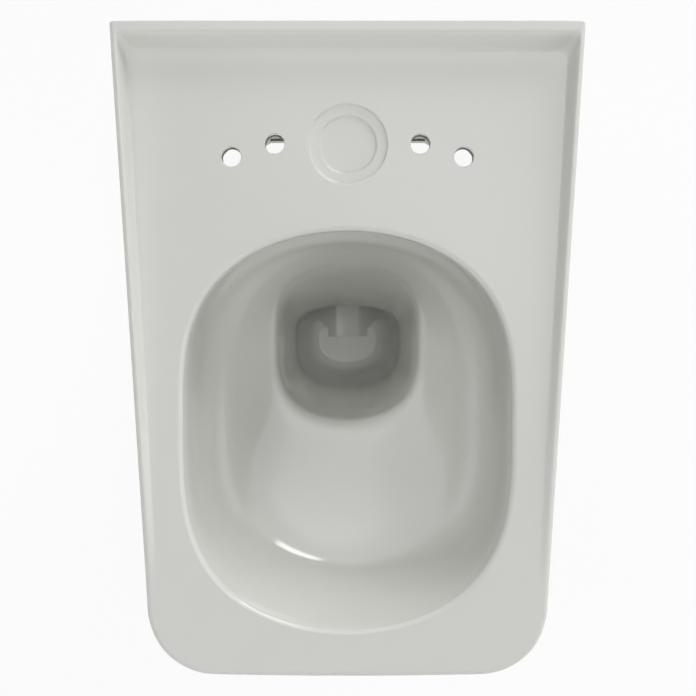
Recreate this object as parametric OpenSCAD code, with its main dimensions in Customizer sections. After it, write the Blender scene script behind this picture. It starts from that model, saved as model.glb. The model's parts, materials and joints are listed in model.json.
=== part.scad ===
// Wall hung toilet pan with its hidden wall fixing.
// Origin: in the wall plane, midway between the two wall studs.
// +Z is up, +X is to the right, and the pan stands out from the wall towards -Y.

/* [Outside of the pan] */
// Width of the pan at the wall
pan_w = 361.8; // [340:0.1:400]
// Width of the pan at its front, where the sides would meet the front plane
front_w = 305; // [285:1:330]
// Distance from the wall to the front
pan_d = 502; // [490:1:560]
// Height of the deck above the wall studs
deck_z = 80; // [76:1:90]
// Height of the pan, from its underside to the top of the ledge
pan_h = 367; // [360:1:400]
// Radius of the two front corners at the deck
corner_r = 54; // [40:1:70]
// How far the front bows out between its corners
front_bow = 1.2; // [0:0.1:4]
// Rounding of the upper outer edge
edge_r = 3.5; // [2:0.5:4]
// Width of the underside at the wall
foot_w = 326; // [310:1:336]
// Width of the underside at its front
foot_front_w = 190; // [180:1:220]
// Distance from the wall to the front of the underside
foot_d = 300; // [290:1:330]
// Radius of the underside's front corners
foot_corner_r = 84; // [60:1:88]
// Rounding of the lower outer edge
foot_edge_r = 8; // [4:1:9]

/* [Ledge and side rims] */
// Height of the ledge above the deck
ledge_h = 17; // [8:1:24]
// Width of the flat top of the ledge
ledge_top_w = 9; // [6:0.5:12]
// Width of the slope from the ledge down to the deck
ledge_slope_w = 8.5; // [4:0.5:12]
// Distance from the side of the pan to the top of the rim's inner slope
rim_top_w = 4.5; // [4:0.5:8]
// Width of the inner slope of the side rims
rim_slope_w = 4; // [2:0.5:6]
// Distance from the wall at which the side rims have run out into the deck
rim_fade_d = 430; // [300:5:440]

/* [Ceramic] */
// Thickness of the outer skirt
skirt_t = 12; // [9:0.5:14]
// Thickness of the back wall
back_t = 14; // [10:0.5:16]
// Thickness of the deck
deck_t = 10; // [8:0.5:12]
// Thickness of the bowl, the trap and the flush channel
bowl_t = 10; // [7:0.5:11]
// Thickness of the back wall where the wall fixing bears on it
pad_t = 22; // [18:0.5:24]
// Height of that thicker pad
pad_h = 60; // [50:1:70]
// Distance from the centre to the inner edge of the lower back corner webs
web_x = 85; // [80:1:90]
// How far the corner webs stand out from the back wall
web_t = 5; // [3:0.5:8]
// Distance from the wall to the front edge of the opening in the underside
under_open_d = 188; // [120:1:192]

/* [Bowl] */
// Width of the bowl just under its rounded edge
bowl_w = 255.8; // [240:0.1:262]
// Distance from the wall to the back of the bowl
bowl_back_y = 156.8; // [152:0.1:165]
// Distance from the wall to the front of the bowl
bowl_front_y = 466.5; // [450:0.1:470]
// Distance from the wall at which the bowl is widest
bowl_waist_y = 296.7; // [285:0.1:305]
// Rounding of the bowl's upper edge
lip_r = 4; // [2:0.5:5]
// Depth below the deck of the bowl's back edge, which hides the flush slot from above
edge_depth = 12; // [10:1:14]
// How far the back wall stands back under that edge
undercut = 8; // [4:0.5:9]
// Depth below the deck at which the undercut has run out
undercut_end = 58; // [54:1:62]
// Depth below the deck at which the upright wall turns into the shoulders
wall_depth = 80; // [70:1:90]
// How far the front wall leans in over that depth
front_lean = 28; // [15:1:35]
// How far the back wall leans in over that depth
back_lean = 6; // [2:0.5:8]
// Depth below the deck of the upper edge of the sump
sump_edge_depth = 125; // [116:1:140]
// How far the sump's back edge lies in front of the bowl's back
sump_step = 17; // [8:1:20]
// Width of the sump at its upper edge
sump_w = 129; // [120:1:138]
// Distance from the wall to the front of the sump at its upper edge
sump_front_y = 316.6; // [310:0.1:326]
// Distance from the wall at which the sump is widest
sump_waist_y = 235; // [228:1:242]
// Depth below the deck of the sump's floor
sump_depth = 327; // [320:1:332]
// Width of the sump's floor
floor_w = 100; // [92:1:104]
// Distance from the wall to the back of the sump's floor, and to the lip of the trap above it
floor_back_y = 203; // [196:1:206]
// Distance from the wall to the front of the sump's floor
floor_front_y = 282; // [276:1:290]

/* [Trap and waste outlet] */
// Inside radius of the trap passage
trap_r = 36; // [33:0.5:38]
// Half width of the passage where it leaves the sump
mouth_half_w = 46; // [40:0.5:47]
// Half height of the passage there
mouth_half_h = 31; // [28:0.5:34]
// Depth of the trap's lowest centre point below the studs
trap_low_z = 219; // [216:1:222]
// Depth of the outlet's centre line below the studs
outlet_z = 100; // [95:1:105]
// Outside radius of the waste spigot
spigot_r = 51; // [48:0.5:55]
// Inside radius of the waste spigot
spigot_bore_r = 41; // [38:0.5:43]
// Length of the spigot
spigot_len = 58; // [50:1:64]
// Distance from the wall to the end of the spigot
spigot_end_y = 4; // [2:0.5:12]
// Room around the spigot in the back wall
outlet_room = 15; // [10:1:17]
// Length of the groove at the spigot's root, in which the outlet seal sits
groove_len = 14; // [10:0.5:16]
// Depth of that groove
groove_d = 1; // [0.5:0.25:2]

/* [Flush inlet] */
// Height of the inlet's centre line above the studs
inlet_z = 35; // [32:1:36]
// Radius of the inlet socket
inlet_r = 27.5; // [25:0.5:29]
// Depth of the inlet socket
inlet_len = 30; // [24:1:36]
// Radius of the flush pipe that the seal takes
pipe_r = 22.5; // [20:0.5:23.5]
// Half width of the flush channel's slot in the bowl
slot_w = 32; // [26:1:36]
// Half height of the slot
slot_h = 13; // [10:0.5:14]
// Depth of the slot's centre line below the deck
slot_depth = 31; // [28:1:34]
// Length of the flush distributor
distributor_len = 44; // [30:1:50]
// Wall of the flush distributor
distributor_t = 2.5; // [1.5:0.5:4]

/* [Deck holes] */
// Radius of the four deck holes
deck_hole_r = 7.5; // [5:0.5:8]
// Spacing of the outer pair
outer_hole_gap = 180; // [170:1:200]
// Distance from the wall to the outer pair
outer_hole_y = 100; // [85:0.5:110]
// Spacing of the inner pair
inner_hole_gap = 112.7; // [104:0.1:125]
// Distance from the wall to the inner pair and to the round recess
inner_hole_y = 90; // [80:0.5:100]
// Radius of the round recess
recess_r = 30.8; // [26:0.2:34]
// Depth of the round recess
recess_d = 2.5; // [1:0.5:3]
// Radius of the deeper step in the recess
step_r = 22.4; // [18:0.2:25]
// Depth of that step below the recess
step_d = 2; // [1:0.5:3]

/* [Wall fixing] */
// Spacing of the wall studs
stud_gap = 180; // [176:1:184]
// Radius of the bore that an M12 stud passes
stud_bore_r = 6.25; // [6.1:0.05:6.6]
// Outside radius of the stud sleeve
sleeve_r = 12; // [10:0.5:13]
// Radius of the sleeve's collar
collar_r = 15; // [14:0.5:16]
// Thickness of the sleeve's collar
collar_t = 1.5; // [1:0.5:3]
// Half width of the fixing block around the stud
block_w = 14; // [13:0.5:15]
// Half height of the fixing block
block_h = 14; // [12:0.5:16]
// Length of the fixing block along the stud
block_len = 37; // [36:0.5:38]
// How far the block's arm reaches outwards
arm_len = 28; // [24:1:30]
// Thickness of the arm where it leaves the block
arm_root_t = 11; // [8:0.5:12]
// How much thicker the arm is at its tip
arm_slope = 7; // [4:0.5:8]
// Across flats of the stud nut
nut_af = 19; // [18:0.5:21]
// Thickness of the stud nut
nut_t = 9; // [7:0.5:10]
// Distance from the pad's face to the side screws
screw_room = 13; // [12:0.5:14]
// Radius of the side screw's thread
screw_r = 4; // [3:0.5:5]
// Radius of the side screw's head
screw_head_r = 7; // [6:0.5:7.5]
// Height of the side screw's head
screw_head_h = 6; // [4:0.5:8]
// Length of the wedge nut along the screw
wedge_len = 16; // [12:1:18]
// Half height of the wedge nut
wedge_h = 11; // [9:0.5:14]
// Radius of the access hole in the side of the pan
access_r = 10.5; // [9.5:0.5:12]
// Thickness of the ceramic around the access hole
side_boss_t = 28; // [26:0.5:30]
// Radius of the inner, narrower part of that hole, which takes the bush
bush_r = 8; // [7:0.5:9]
// Thickness of the bush's flange
bush_flange_t = 3; // [2:0.5:4]
// Thickness of the clip that keeps the side screw in its bush
clip_t = 1.5; // [1:0.5:2]
// Radius of the clip
clip_r = 8; // [7:0.5:9]
// Radius of the cover cap
cap_r = 14; // [13:0.5:16]
// Thickness of the cover cap's disc
cap_t = 3; // [2:0.5:4]
// Length of the cap's plug
cap_plug_len = 5; // [3:0.5:6]

/* [Fits] */
// Gap between pieces that sit in or against each other
seat_gap = 0.3; // [0.1:0.05:0.5]
// Radial running clearance of a turning shaft
run_gap = 0.08; // [0.03:0.01:0.1]

/* [Hidden] */

// Overlap that makes a cut pass cleanly through a face
cut = 1;
// Depth of the underside below the wall studs
under_z = pan_h - deck_z - ledge_h;

// Numbers of points: along a side, round a corner, across half the front, round a bowl ring and a tube ring
side_steps = 5;
corner_steps = 9;
front_steps = 2;
bowl_points = 45;
tube_points = 23;

// Share of a rounding's radius that is left at the middle of its arc
arc_mid = 1 - cos(45);

function mix(a, b, t) = a + (b - a) * t;

// Share of the way from the deck down to the underside
function down(z) = min(1, max(0, (deck_z - z) / (deck_z + under_z)));

// How late the skirt draws in on its way down: at the wall, at the sides' front end and along its length
back_curve = 1.3;
front_curve = 1.7;
reach_curve = 2.2;

// The plan of the outside at height z: half width at the wall, half width at the front, length, corner radius
function half_back(z) = mix(pan_w, foot_w, pow(down(z), back_curve)) / 2;
function half_front(z) = mix(front_w, foot_front_w, pow(down(z), front_curve)) / 2;
function reach(z) = mix(pan_d, foot_d, pow(down(z), reach_curve));
function corner(z) = mix(corner_r, foot_corner_r, down(z));
function side_angle(z) = atan((half_back(z) - half_front(z)) / reach(z));

// Half width of the outside at height z and distance y from the wall, before the corner begins
function side_x(z, y) = half_back(z) - (half_back(z) - half_front(z)) * y / reach(z);

// Distance from the wall at which the side rims start to run out, a little in front of the ledge
rim_level_len = 6;
rim_start = ledge_top_w + ledge_slope_w + rim_level_len;

// Height of the side rims' top at distance y from the wall
function rim_z(y) = deck_z + ledge_h * max(0, min(1, 1 - (y - rim_start) / (rim_fade_d - rim_start)));

// Right half of the plan at height z, drawn in by inset, from the back to the front centre
function half_plan(z, inset, back_y) =
    let (a = side_angle(z))
    let (r = corner(z))
    let (far = reach(z) - front_bow)
    let (cy = far - r)
    let (cx = side_x(z, cy) - r / cos(a))
    concat(
        [for (y = concat(back_y, [for (i = [0:side_steps]) mix(rim_start, cy + r * sin(a), i / side_steps)]))
            [side_x(z, y) - inset / cos(a), -y]],
        [for (i = [1:corner_steps])
            let (t = mix(-a, -90, i / corner_steps))
            [cx + (r - inset) * cos(t), -cy + (r - inset) * sin(t)]],
        [for (i = [1:front_steps])
            let (x = cx * (1 - i / front_steps))
            [x, -far + inset - front_bow * (1 - pow(x / cx, 2))]]
    );

// A right half with its mirror image, as one ring
function both_halves(half) = concat(half, [for (i = [len(half) - 2:-1:0]) [-half[i].x, half[i].y]]);

// A whole ring at one height, and one whose height drop below the rims' top follows the rims
function flat_ring(z, inset, back_y) = [for (p = both_halves(half_plan(z, inset, back_y))) [p.x, p.y, z]];
function rim_ring(drop, inset, back_y) =
    [for (p = both_halves(half_plan(deck_z, inset, back_y))) [p.x, p.y, rim_z(-p.y) - drop]];

// An egg-shaped ring at height z: half width a, and its back, front and widest place measured from the wall.
// The squareness of its back and front halves makes the sides straighter and the corners tighter.
function egg_ring(z, a, back, front, waist, square) =
    [for (i = [0:bowl_points - 1])
        let (t = 90 - (i + 0.5) * 360 / bowl_points)
        let (len = sin(t) > 0 ? waist - back : front - waist)
        let (v = pow(abs(sin(t)), 2 / (sin(t) > 0 ? square[0] : square[1])))
        [a * cos(t), -waist + len * v * sign(sin(t)), z]];

// A ring of the trap: centre at distance y and height z, half width w, half height h, turned by an angle
function tube_ring(y, z, w, h, turn) =
    [for (i = [0:tube_points - 1])
        let (t = 90 - (i + 0.5) * 360 / tube_points)
        [w * cos(t), -y + h * sin(t) * sin(turn), z + h * sin(t) * cos(turn)]];

// A ring of the flush channel: half width w, half height h, centre height z, squareness
function channel_ring(y, w, h, z, square) =
    [for (i = [0:tube_points - 1])
        let (t = 90 - (i + 0.5) * 360 / tube_points)
        [w * pow(abs(cos(t)), 2 / square) * sign(cos(t)), -y,
         z + h * pow(abs(sin(t)), 2 / square) * sign(sin(t))]];

// Skins a list of left-right symmetric rings, and closes both ends with strips across the middle
module loft(rings) {
    n = len(rings[0]);
    top = (len(rings) - 1) * n;
    polyhedron(
        points = [for (ring = rings) each ring],
        faces = concat(
            [for (k = [0:len(rings) - 2]) for (i = [0:n - 1])
                [k * n + i, (k + 1) * n + i, k * n + (i + 1) % n]],
            [for (k = [0:len(rings) - 2]) for (i = [0:n - 1])
                [k * n + (i + 1) % n, (k + 1) * n + i, (k + 1) * n + (i + 1) % n]],
            [for (i = [0:(n - 3) / 2]) each cap_faces(i, n, 0, false)],
            [for (i = [0:(n - 3) / 2]) each cap_faces(i, n, top, true)]
        ),
        convexity = 8
    );
}

// The two triangles of one strip of a cap, or the last single one
function cap_faces(i, n, base, flip) =
    let (a = base + i)
    let (b = base + i + 1)
    let (c = base + n - 2 - i)
    let (d = base + n - 1 - i)
    b == c ? [flip ? [a, d, b] : [a, b, d]]
    : flip ? [[a, c, b], [a, d, c]] : [[a, b, c], [a, c, d]];

// The outside as one solid block, reaching past the wall plane so that the wall face is cut clean
module outer_form() {
    levels = [0.06, 0.16, 0.28, 0.4, 0.52, 0.64, 0.76, 0.87];
    body_top = deck_z - edge_r;
    body_low = -under_z + foot_edge_r;
    loft(concat(
        [rim_ring(0, edge_r, -cut)],
        [rim_ring(edge_r * arc_mid, edge_r * arc_mid, -cut)],
        [rim_ring(edge_r, 0, -cut)],
        [for (s = levels) flat_ring(mix(body_top, body_low, s), 0, -cut)],
        [flat_ring(body_low, 0, -cut)],
        [flat_ring(-under_z + foot_edge_r * arc_mid, foot_edge_r * arc_mid, -cut)],
        [flat_ring(-under_z, foot_edge_r, -cut)]
    ));
}

// The space above the deck, between the ledge and the side rims
module deck_pocket() {
    grow = (ledge_h + cut) / ledge_h;
    rim_in = rim_top_w + rim_slope_w;
    ledge_in = ledge_top_w + ledge_slope_w;
    low = [for (p = both_halves(half_plan(deck_z, rim_in, ledge_in))) [p.x, p.y, deck_z]];
    high_in = rim_in - rim_slope_w * grow;
    high_back = ledge_in - ledge_slope_w * grow;
    high = [for (p = both_halves(half_plan(deck_z, high_in, high_back))) [p.x, p.y, deck_z + ledge_h + cut]];
    loft([high, low]);
}

// The hollow inside the skirt
module hollow() {
    levels = [0.2, 0.4, 0.6, 0.8];
    top = deck_z - deck_t;
    low = -under_z + skirt_t;
    loft(concat(
        [flat_ring(top, skirt_t, back_t)],
        [for (s = levels) flat_ring(mix(top, low, s), skirt_t, back_t)],
        [flat_ring(low, skirt_t, back_t)]
    ));
}

// The opening in the underside, next to the wall, with a small lip all round it
module under_opening() {
    lip = 1.5;
    ring = flat_ring(-under_z, skirt_t + lip, back_t + lip);
    intersection() {
        translate([0, 0, -under_z - cut])
            linear_extrude(2 * skirt_t)
                polygon([for (p = ring) [p.x, p.y]]);
        translate([-pan_w / 2, -under_open_d, -under_z - 2 * cut])
            cube([pan_w, under_open_d, 3 * skirt_t]);
    }
}

// Heights at which the upright wall ends, the sump begins, and of the sump's floor
shoulder_z = deck_z - wall_depth;
sump_z = deck_z - sump_edge_depth;
floor_z = deck_z - sump_depth;

// Distances from the wall at which the back wall and the front wall end, and the back of the sump begins
wall_foot_y = bowl_back_y + back_lean;
front_foot_y = bowl_front_y - front_lean;
sump_back_y = bowl_back_y + sump_step;

// The rounded upper edge: depth below the deck, and how far out
edge_rows = [[-cut, lip_r], [0, lip_r], [lip_r * arc_mid, lip_r * arc_mid], [lip_r, 0]];

// The upright wall: depth below the deck, how far in at the sides and forward at the back, share of the lean
wall_rows = [
    [edge_depth, 0.2, 0, 0.05],
    [edge_depth + undercut * 0.7, 0.4, -undercut, 0.12],
    [slot_depth + slot_h + 2, 1, -undercut, 0.5],
    [undercut_end, 4, 1, 0.68],
    [mix(undercut_end, wall_depth, 0.6), 12, back_lean * 0.7, 0.88]
];

// The shoulders: share of the way down, of the way in at the sides, at the front and at the waist
shoulder_rows = [
    [0.1, 0.43, 0.02, 0.1],
    [0.3, 0.557, 0.127, 0.25],
    [0.55, 0.716, 0.43, 0.5],
    [0.85, 0.905, 0.82, 0.85]
];

// The sump: share of the way down, of the way in, and of the way forward at the back
sump_rows = [[0, 0, 0], [0.07, 0.17, 0.11], [0.35, 0.42, 0.57], [0.62, 0.7, 1], [0.86, 0.93, 1]];

// The rounded edge of the floor: height over the floor, and how far in from its edge
floor_rows = [[6, 7], [0, 20]];

// Squareness of the bowl, of the sump and of its floor: back half, front half
bowl_square = [3, 3.6];
sump_square = [3.4, 3.6];
floor_square = [3, 3];

// Rings of the bowl from its opening down to the floor of the sump, grown outwards by g
function bowl_rings(g) =
    let (half = bowl_w / 2)
    let (sump = sump_w / 2)
    let (base = floor_w / 2)
    concat(
        [for (row = g > 0 ? [[deck_t / 2, g]] : edge_rows)
            egg_ring(deck_z - row[0], half + row[1], bowl_back_y - row[1], bowl_front_y + row[1],
                     bowl_waist_y, bowl_square)],
        [for (row = wall_rows)
            egg_ring(deck_z - row[0], half - row[1] + g, bowl_back_y + row[2] - g,
                     bowl_front_y - front_lean * row[3] + g, bowl_waist_y, bowl_square)],
        [for (row = shoulder_rows)
            egg_ring(mix(shoulder_z, sump_z, row[0]), mix(half, sump, row[1]) + g,
                     mix(wall_foot_y, sump_back_y, row[0]) - g,
                     mix(front_foot_y, sump_front_y, row[2]) + g,
                     mix(bowl_waist_y, sump_waist_y, row[3]), bowl_square)],
        [for (row = sump_rows)
            egg_ring(mix(sump_z, floor_z, row[0]), mix(sump, base, row[1]) + g,
                     mix(sump_back_y, floor_back_y, row[2]) - g, mix(sump_front_y, floor_front_y, row[1]) + g,
                     sump_waist_y, sump_square)],
        [for (row = floor_rows)
            egg_ring(floor_z + row[0] - g * 0.7, base - row[1] + g, floor_back_y + row[1] - g,
                     floor_front_y - row[1] + g, sump_waist_y, floor_square)]
    );

// The trap behind its mouth: distance from the wall at which it turns steep
rise = floor_back_y - 35;

// Centre line of the trap: distance from the wall, depth below the studs, share of the mouth's shape, turn
trap_path = [
    [floor_back_y + 31, trap_low_z + 1, 1, 2],
    [floor_back_y + 3, trap_low_z, 1, -6],
    [floor_back_y - 17, trap_low_z - 7, 0.7, -28],
    [rise, trap_low_z - 26, 0.3, -52],
    [mix(rise, spigot_len, 0.2), mix(trap_low_z, outlet_z, 0.5), 0, -57],
    [mix(rise, spigot_len, 0.4), mix(trap_low_z, outlet_z, 0.78), 0, -45],
    [mix(rise, spigot_len, 0.63), mix(trap_low_z, outlet_z, 0.95), 0, -20],
    [mix(rise, spigot_len, 0.83), outlet_z, 0, 0],
    [spigot_len, outlet_z, 0, 0]
];

// Rings of the trap from the sump to the spigot, grown outwards by g
function trap_rings(g) =
    [for (row = trap_path)
        tube_ring(row[0], -row[1], mix(trap_r, mouth_half_w, row[2]) + g,
                  mix(trap_r, mouth_half_h, row[2]) + g, row[3])];

// The flush distributor lies in the channel just behind the slot in the bowl's back wall
slot_z = deck_z - slot_depth;
slot_y = bowl_back_y - undercut;
distributor_y = slot_y - 2;
distributor_end_y = distributor_y - distributor_len;

// The flush channel: its inside radius at the inlet, and where it starts and ends to flatten
channel_r = inlet_r - 3.5;
flatten_y = inlet_len + 22;
flat_y = distributor_end_y - 4;

// Squareness of the slot, and of the channel half way to it
slot_square = 5;
channel_square = 3;

// Rings of the flush channel from the slot in the bowl to the inlet socket, grown outwards by g
function channel_rings(g) =
    let (wide = channel_r + g * 1.25)
    let (half_way = 0.6)
    [
        channel_ring(slot_y + (g > 0 ? 0 : undercut + lip_r), slot_w + g, slot_h + g, slot_z, slot_square),
        channel_ring(flat_y, slot_w + g, slot_h + g, slot_z, slot_square),
        channel_ring(mix(flatten_y, flat_y, half_way), mix(channel_r, slot_w, half_way) + g,
                     mix(channel_r, slot_h, half_way) + g, mix(inlet_z, slot_z, half_way), channel_square),
        channel_ring(flatten_y, wide, channel_r + g, inlet_z, 2),
        channel_ring(g > 0 ? 0 : inlet_len - cut, wide, wide, inlet_z, 2)
    ];

// Facets of the large and of the small round pieces
large_fn = 64;
small_fn = 48;

// Small distances of the wall fixing: the pad beyond the block, the ceramic round an access hole, the bush
// out of its boss, the cap's plug from the screw's head, the screw's tip from the block
pad_margin = 10;
boss_wall = 7;
bush_out = 1;
head_room = 1;
tip_room = 1.5;

// Size of the hexagon key that turns the side screws
key_af = 6;

// Places of the wall fixing on the right side: distances from the wall, and places along X
stud_x = stud_gap / 2;
hub_x = stud_x + block_w;
arm_tip_x = hub_x + arm_len;
block_back = pad_t + collar_t;
block_front = block_back + block_len;
screw_y = pad_t + screw_room;
side_face_x = side_x(0, screw_y);
boss_x = side_face_x - side_boss_t;
cap_seat_x = side_face_x - cap_t;
head_end_x = cap_seat_x - cap_plug_len - head_room;
head_x = head_end_x - screw_head_h;
shoulder_x = head_x - seat_gap - bush_flange_t;
bush_end_x = boss_x - bush_out;

// Children drawn along +Z are laid out from the wall, starting at distance y, or outwards along +X
module from_wall(x, y, z) { translate([x, -y, z]) rotate([90, 0, 0]) children(); }
module outwards(x, y, z) { translate([x, -y, z]) rotate([0, 90, 0]) children(); }

// Children drawn for the right side, or mirrored for the left side
module on_side(side) {
    if (side > 0) children();
    else mirror([1, 0, 0]) children();
}

// The thicker part of the back wall on the right side, which the wall fixing bears on
module bearing_pad() {
    inner_x = stud_x - block_w - pad_margin;
    translate([inner_x, -pad_t, -pad_h / 2])
        cube([pan_w / 2 - inner_x, pad_t, pad_h]);
}

// The boss inside the right side of the skirt, around the access hole
module side_boss() {
    outwards(boss_x, screw_y, 0)
        cylinder(r = access_r + boss_wall, h = side_boss_t - skirt_t / 2, $fn = 32);
}

// Edge of the corner webs: distance in from the skirt, and out from the back wall's inner face
web_edge = [[24, web_t + 1], [14, web_t + 4], [7, web_t + 12], [4, web_t + 26]];
web_slope = 8;

// The web that stiffens the lower back corner on the right side
module corner_web() {
    skirt_x = foot_w / 2 - skirt_t - 2;
    outer_x = foot_w / 2;
    translate([0, 0, -under_z])
        linear_extrude(under_z - pad_h)
            polygon(concat(
                [[web_x, -back_t + cut], [web_x, -back_t], [web_x + web_slope, -back_t - web_t + 0.5]],
                [for (row = web_edge) [skirt_x - row[0], -back_t - row[1]]],
                [[outer_x, -back_t - web_edge[3][1]], [outer_x, -back_t + cut]]
            ));
}

// All that stands in the hollow: the shells of the bowl, the trap and the channel, the pads, bosses and webs
module inner_walls() {
    loft(bowl_rings(bowl_t));
    loft(trap_rings(bowl_t));
    loft(channel_rings(bowl_t));
    for (side = [-1, 1])
        on_side(side) {
            bearing_pad();
            side_boss();
            corner_web();
        }
}

// The casting without its round bores, brought to its stated overall size
module casting() {
    resize([pan_w + 2 * cut * tan(side_angle(deck_z)), pan_d + cut, pan_h])
        difference() {
            outer_form();
            deck_pocket();
            difference() {
                union() {
                    hollow();
                    under_opening();
                }
                inner_walls();
            }
            loft(bowl_rings(0));
            loft(trap_rings(0));
            loft(channel_rings(0));
        }
}

// How far the spigot reaches into the shell of the trap, and where the groove at its root begins
spigot_root = 4;
groove_y = spigot_len - groove_len;

module pan() {
    color([0.83, 0.82, 0.8])
        difference() {
            union() {
                casting();
                from_wall(0, spigot_end_y, -outlet_z)
                    cylinder(r = spigot_r, h = spigot_len + spigot_root - spigot_end_y, $fn = large_fn);
            }
            // the wall face
            translate([-pan_w, 0, -pan_h]) cube([2 * pan_w, 2 * cut, 2 * pan_h]);
            // the bore of the spigot, the room around it in the back wall, and the groove at its root
            from_wall(0, 0, -outlet_z) cylinder(r = spigot_bore_r, h = spigot_len + cut, $fn = large_fn);
            difference() {
                from_wall(0, -cut, -outlet_z)
                    cylinder(r = spigot_r + outlet_room, h = groove_y + groove_len + cut, $fn = large_fn);
                from_wall(0, spigot_end_y, -outlet_z)
                    cylinder(r = spigot_r, h = groove_y - spigot_end_y, $fn = large_fn);
                from_wall(0, groove_y - cut, -outlet_z)
                    cylinder(r = spigot_r - groove_d, h = groove_len + 2 * cut, $fn = large_fn);
            }
            // the flush inlet socket
            from_wall(0, -cut, inlet_z) cylinder(r = inlet_r, h = inlet_len + cut, $fn = large_fn);
            // the deck holes and the stepped recess between them
            for (side = [-1, 1]) {
                translate([side * outer_hole_gap / 2, -outer_hole_y, deck_z - deck_t - cut])
                    cylinder(r = deck_hole_r, h = deck_t + 2 * cut, $fn = 32);
                translate([side * inner_hole_gap / 2, -inner_hole_y, deck_z - deck_t - cut])
                    cylinder(r = deck_hole_r, h = deck_t + 2 * cut, $fn = 32);
            }
            translate([0, -inner_hole_y, deck_z - recess_d])
                cylinder(r = recess_r, h = recess_d + cut, $fn = large_fn);
            translate([0, -inner_hole_y, deck_z - recess_d - step_d])
                cylinder(r = step_r, h = step_d + cut, $fn = large_fn);
            // the stud holes, the access holes and the seats of the cover caps
            for (side = [-1, 1])
                on_side(side) {
                    from_wall(stud_x, -cut, 0)
                        cylinder(r = sleeve_r + seat_gap, h = pad_t + 2 * cut, $fn = small_fn);
                    outwards(boss_x - cut, screw_y, 0)
                        cylinder(r = bush_r, h = side_boss_t, $fn = small_fn);
                    outwards(shoulder_x, screw_y, 0)
                        cylinder(r = access_r, h = side_boss_t, $fn = small_fn);
                    outwards(cap_seat_x, screw_y, 0)
                        cylinder(r = cap_r + seat_gap, h = cap_t + 4 * cut, $fn = small_fn);
                }
        }
}

// Rubber ring in the inlet socket: three ribs outside, a plain bore for the flush pipe inside
module inlet_seal() {
    groove = 1;
    lead_in = 1.5;
    end_room = 2;
    length = inlet_len - 2 * end_room;
    rib = length / 7;
    color([0.13, 0.13, 0.14])
        from_wall(0, end_room, inlet_z)
            rotate_extrude($fn = large_fn)
                polygon([
                    [pipe_r + lead_in, 0],
                    [inlet_r, 0],
                    [inlet_r, rib],
                    [inlet_r - groove, 2 * rib],
                    [inlet_r, 3 * rib],
                    [inlet_r, 4 * rib],
                    [inlet_r - groove, 5 * rib],
                    [inlet_r, 6 * rib],
                    [inlet_r, length],
                    [pipe_r, length],
                    [pipe_r, lead_in]
                ]);
}

// Plastic nozzle behind the slot in the bowl, open to the inlet, with one jet downwards and two sideways
module flush_distributor() {
    w = slot_w - seat_gap;
    h = slot_h - seat_gap;
    inner_w = w - distributor_t;
    inner_h = h - distributor_t;
    wall_y = distributor_y - distributor_t;
    jet_h = inner_h * 0.5;
    jet_depth = distributor_t + 2 * cut;
    middle_w = w * 0.6;
    side_x = w * 0.42;
    side_w = w * 0.46;
    color([0.9, 0.9, 0.88])
        difference() {
            loft([
                channel_ring(distributor_y, w, h, slot_z, slot_square),
                channel_ring(distributor_end_y, w, h, slot_z, slot_square)
            ]);
            loft([
                channel_ring(wall_y, inner_w, inner_h, slot_z, slot_square),
                channel_ring(distributor_end_y - cut, inner_w, inner_h, slot_z, slot_square)
            ]);
            translate([-middle_w / 2, -distributor_y - cut, slot_z - inner_h + cut])
                cube([middle_w, jet_depth, jet_h]);
            for (side = [-1, 1])
                on_side(side)
                    translate([side_x, -distributor_y - cut, slot_z - jet_h / 2])
                        cube([side_w, jet_depth, jet_h]);
        }
}

// Rubber ring in the groove at the root of the waste spigot
module outlet_seal() {
    thick = 5;
    length = groove_len - 2 * seat_gap;
    slope = 4;
    inner_r = spigot_r - groove_d;
    outer_r = inner_r + thick;
    color([0.13, 0.13, 0.14])
        from_wall(0, groove_y + seat_gap, -outlet_z)
            rotate_extrude($fn = large_fn)
                polygon([
                    [inner_r, 0],
                    [outer_r - slope / 2, 0],
                    [outer_r, slope],
                    [outer_r, length],
                    [inner_r, length]
                ]);
}

// Plastic sleeve that centres the wall stud in the ceramic
module stud_sleeve(side) {
    color([0.88, 0.88, 0.86])
        on_side(side)
            difference() {
                union() {
                    from_wall(stud_x, 0, 0) cylinder(r = sleeve_r, h = pad_t, $fn = small_fn);
                    from_wall(stud_x, pad_t, 0) cylinder(r = collar_r, h = collar_t, $fn = small_fn);
                }
                from_wall(stud_x, 0, 0) cylinder(r = stud_bore_r, h = pad_t + collar_t + cut, $fn = small_fn);
            }
}

// Metal block on the wall stud, with a sloping arm behind which the wedge nut draws the pan to the wall
module fixing_block(side) {
    inner_x = stud_x - block_w;
    bevel = 2;
    tip_bevel = 3;
    color([0.62, 0.63, 0.65])
        on_side(side)
            difference() {
                translate([0, 0, -block_h])
                    linear_extrude(2 * block_h)
                        polygon([
                            [inner_x + bevel, -block_back],
                            [hub_x, -block_back],
                            [hub_x, -block_front + arm_root_t],
                            [arm_tip_x, -block_front + arm_root_t + arm_slope],
                            [arm_tip_x, -block_front + tip_bevel],
                            [arm_tip_x - tip_bevel, -block_front],
                            [inner_x + bevel, -block_front],
                            [inner_x, -block_front + bevel],
                            [inner_x, -block_back - bevel]
                        ]);
                from_wall(stud_x, block_back - cut, 0)
                    cylinder(r = stud_bore_r, h = block_len + 2 * cut, $fn = small_fn);
            }
}

// Hexagonal nut that holds the fixing block on the wall stud
module stud_nut(side) {
    color([0.72, 0.73, 0.75])
        on_side(side)
            difference() {
                from_wall(stud_x, block_front, 0) cylinder(r = nut_af / 2 / cos(30), h = nut_t, $fn = 6);
                from_wall(stud_x, block_front - cut, 0)
                    cylinder(r = stud_bore_r, h = nut_t + 2 * cut, $fn = small_fn);
            }
}

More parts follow.
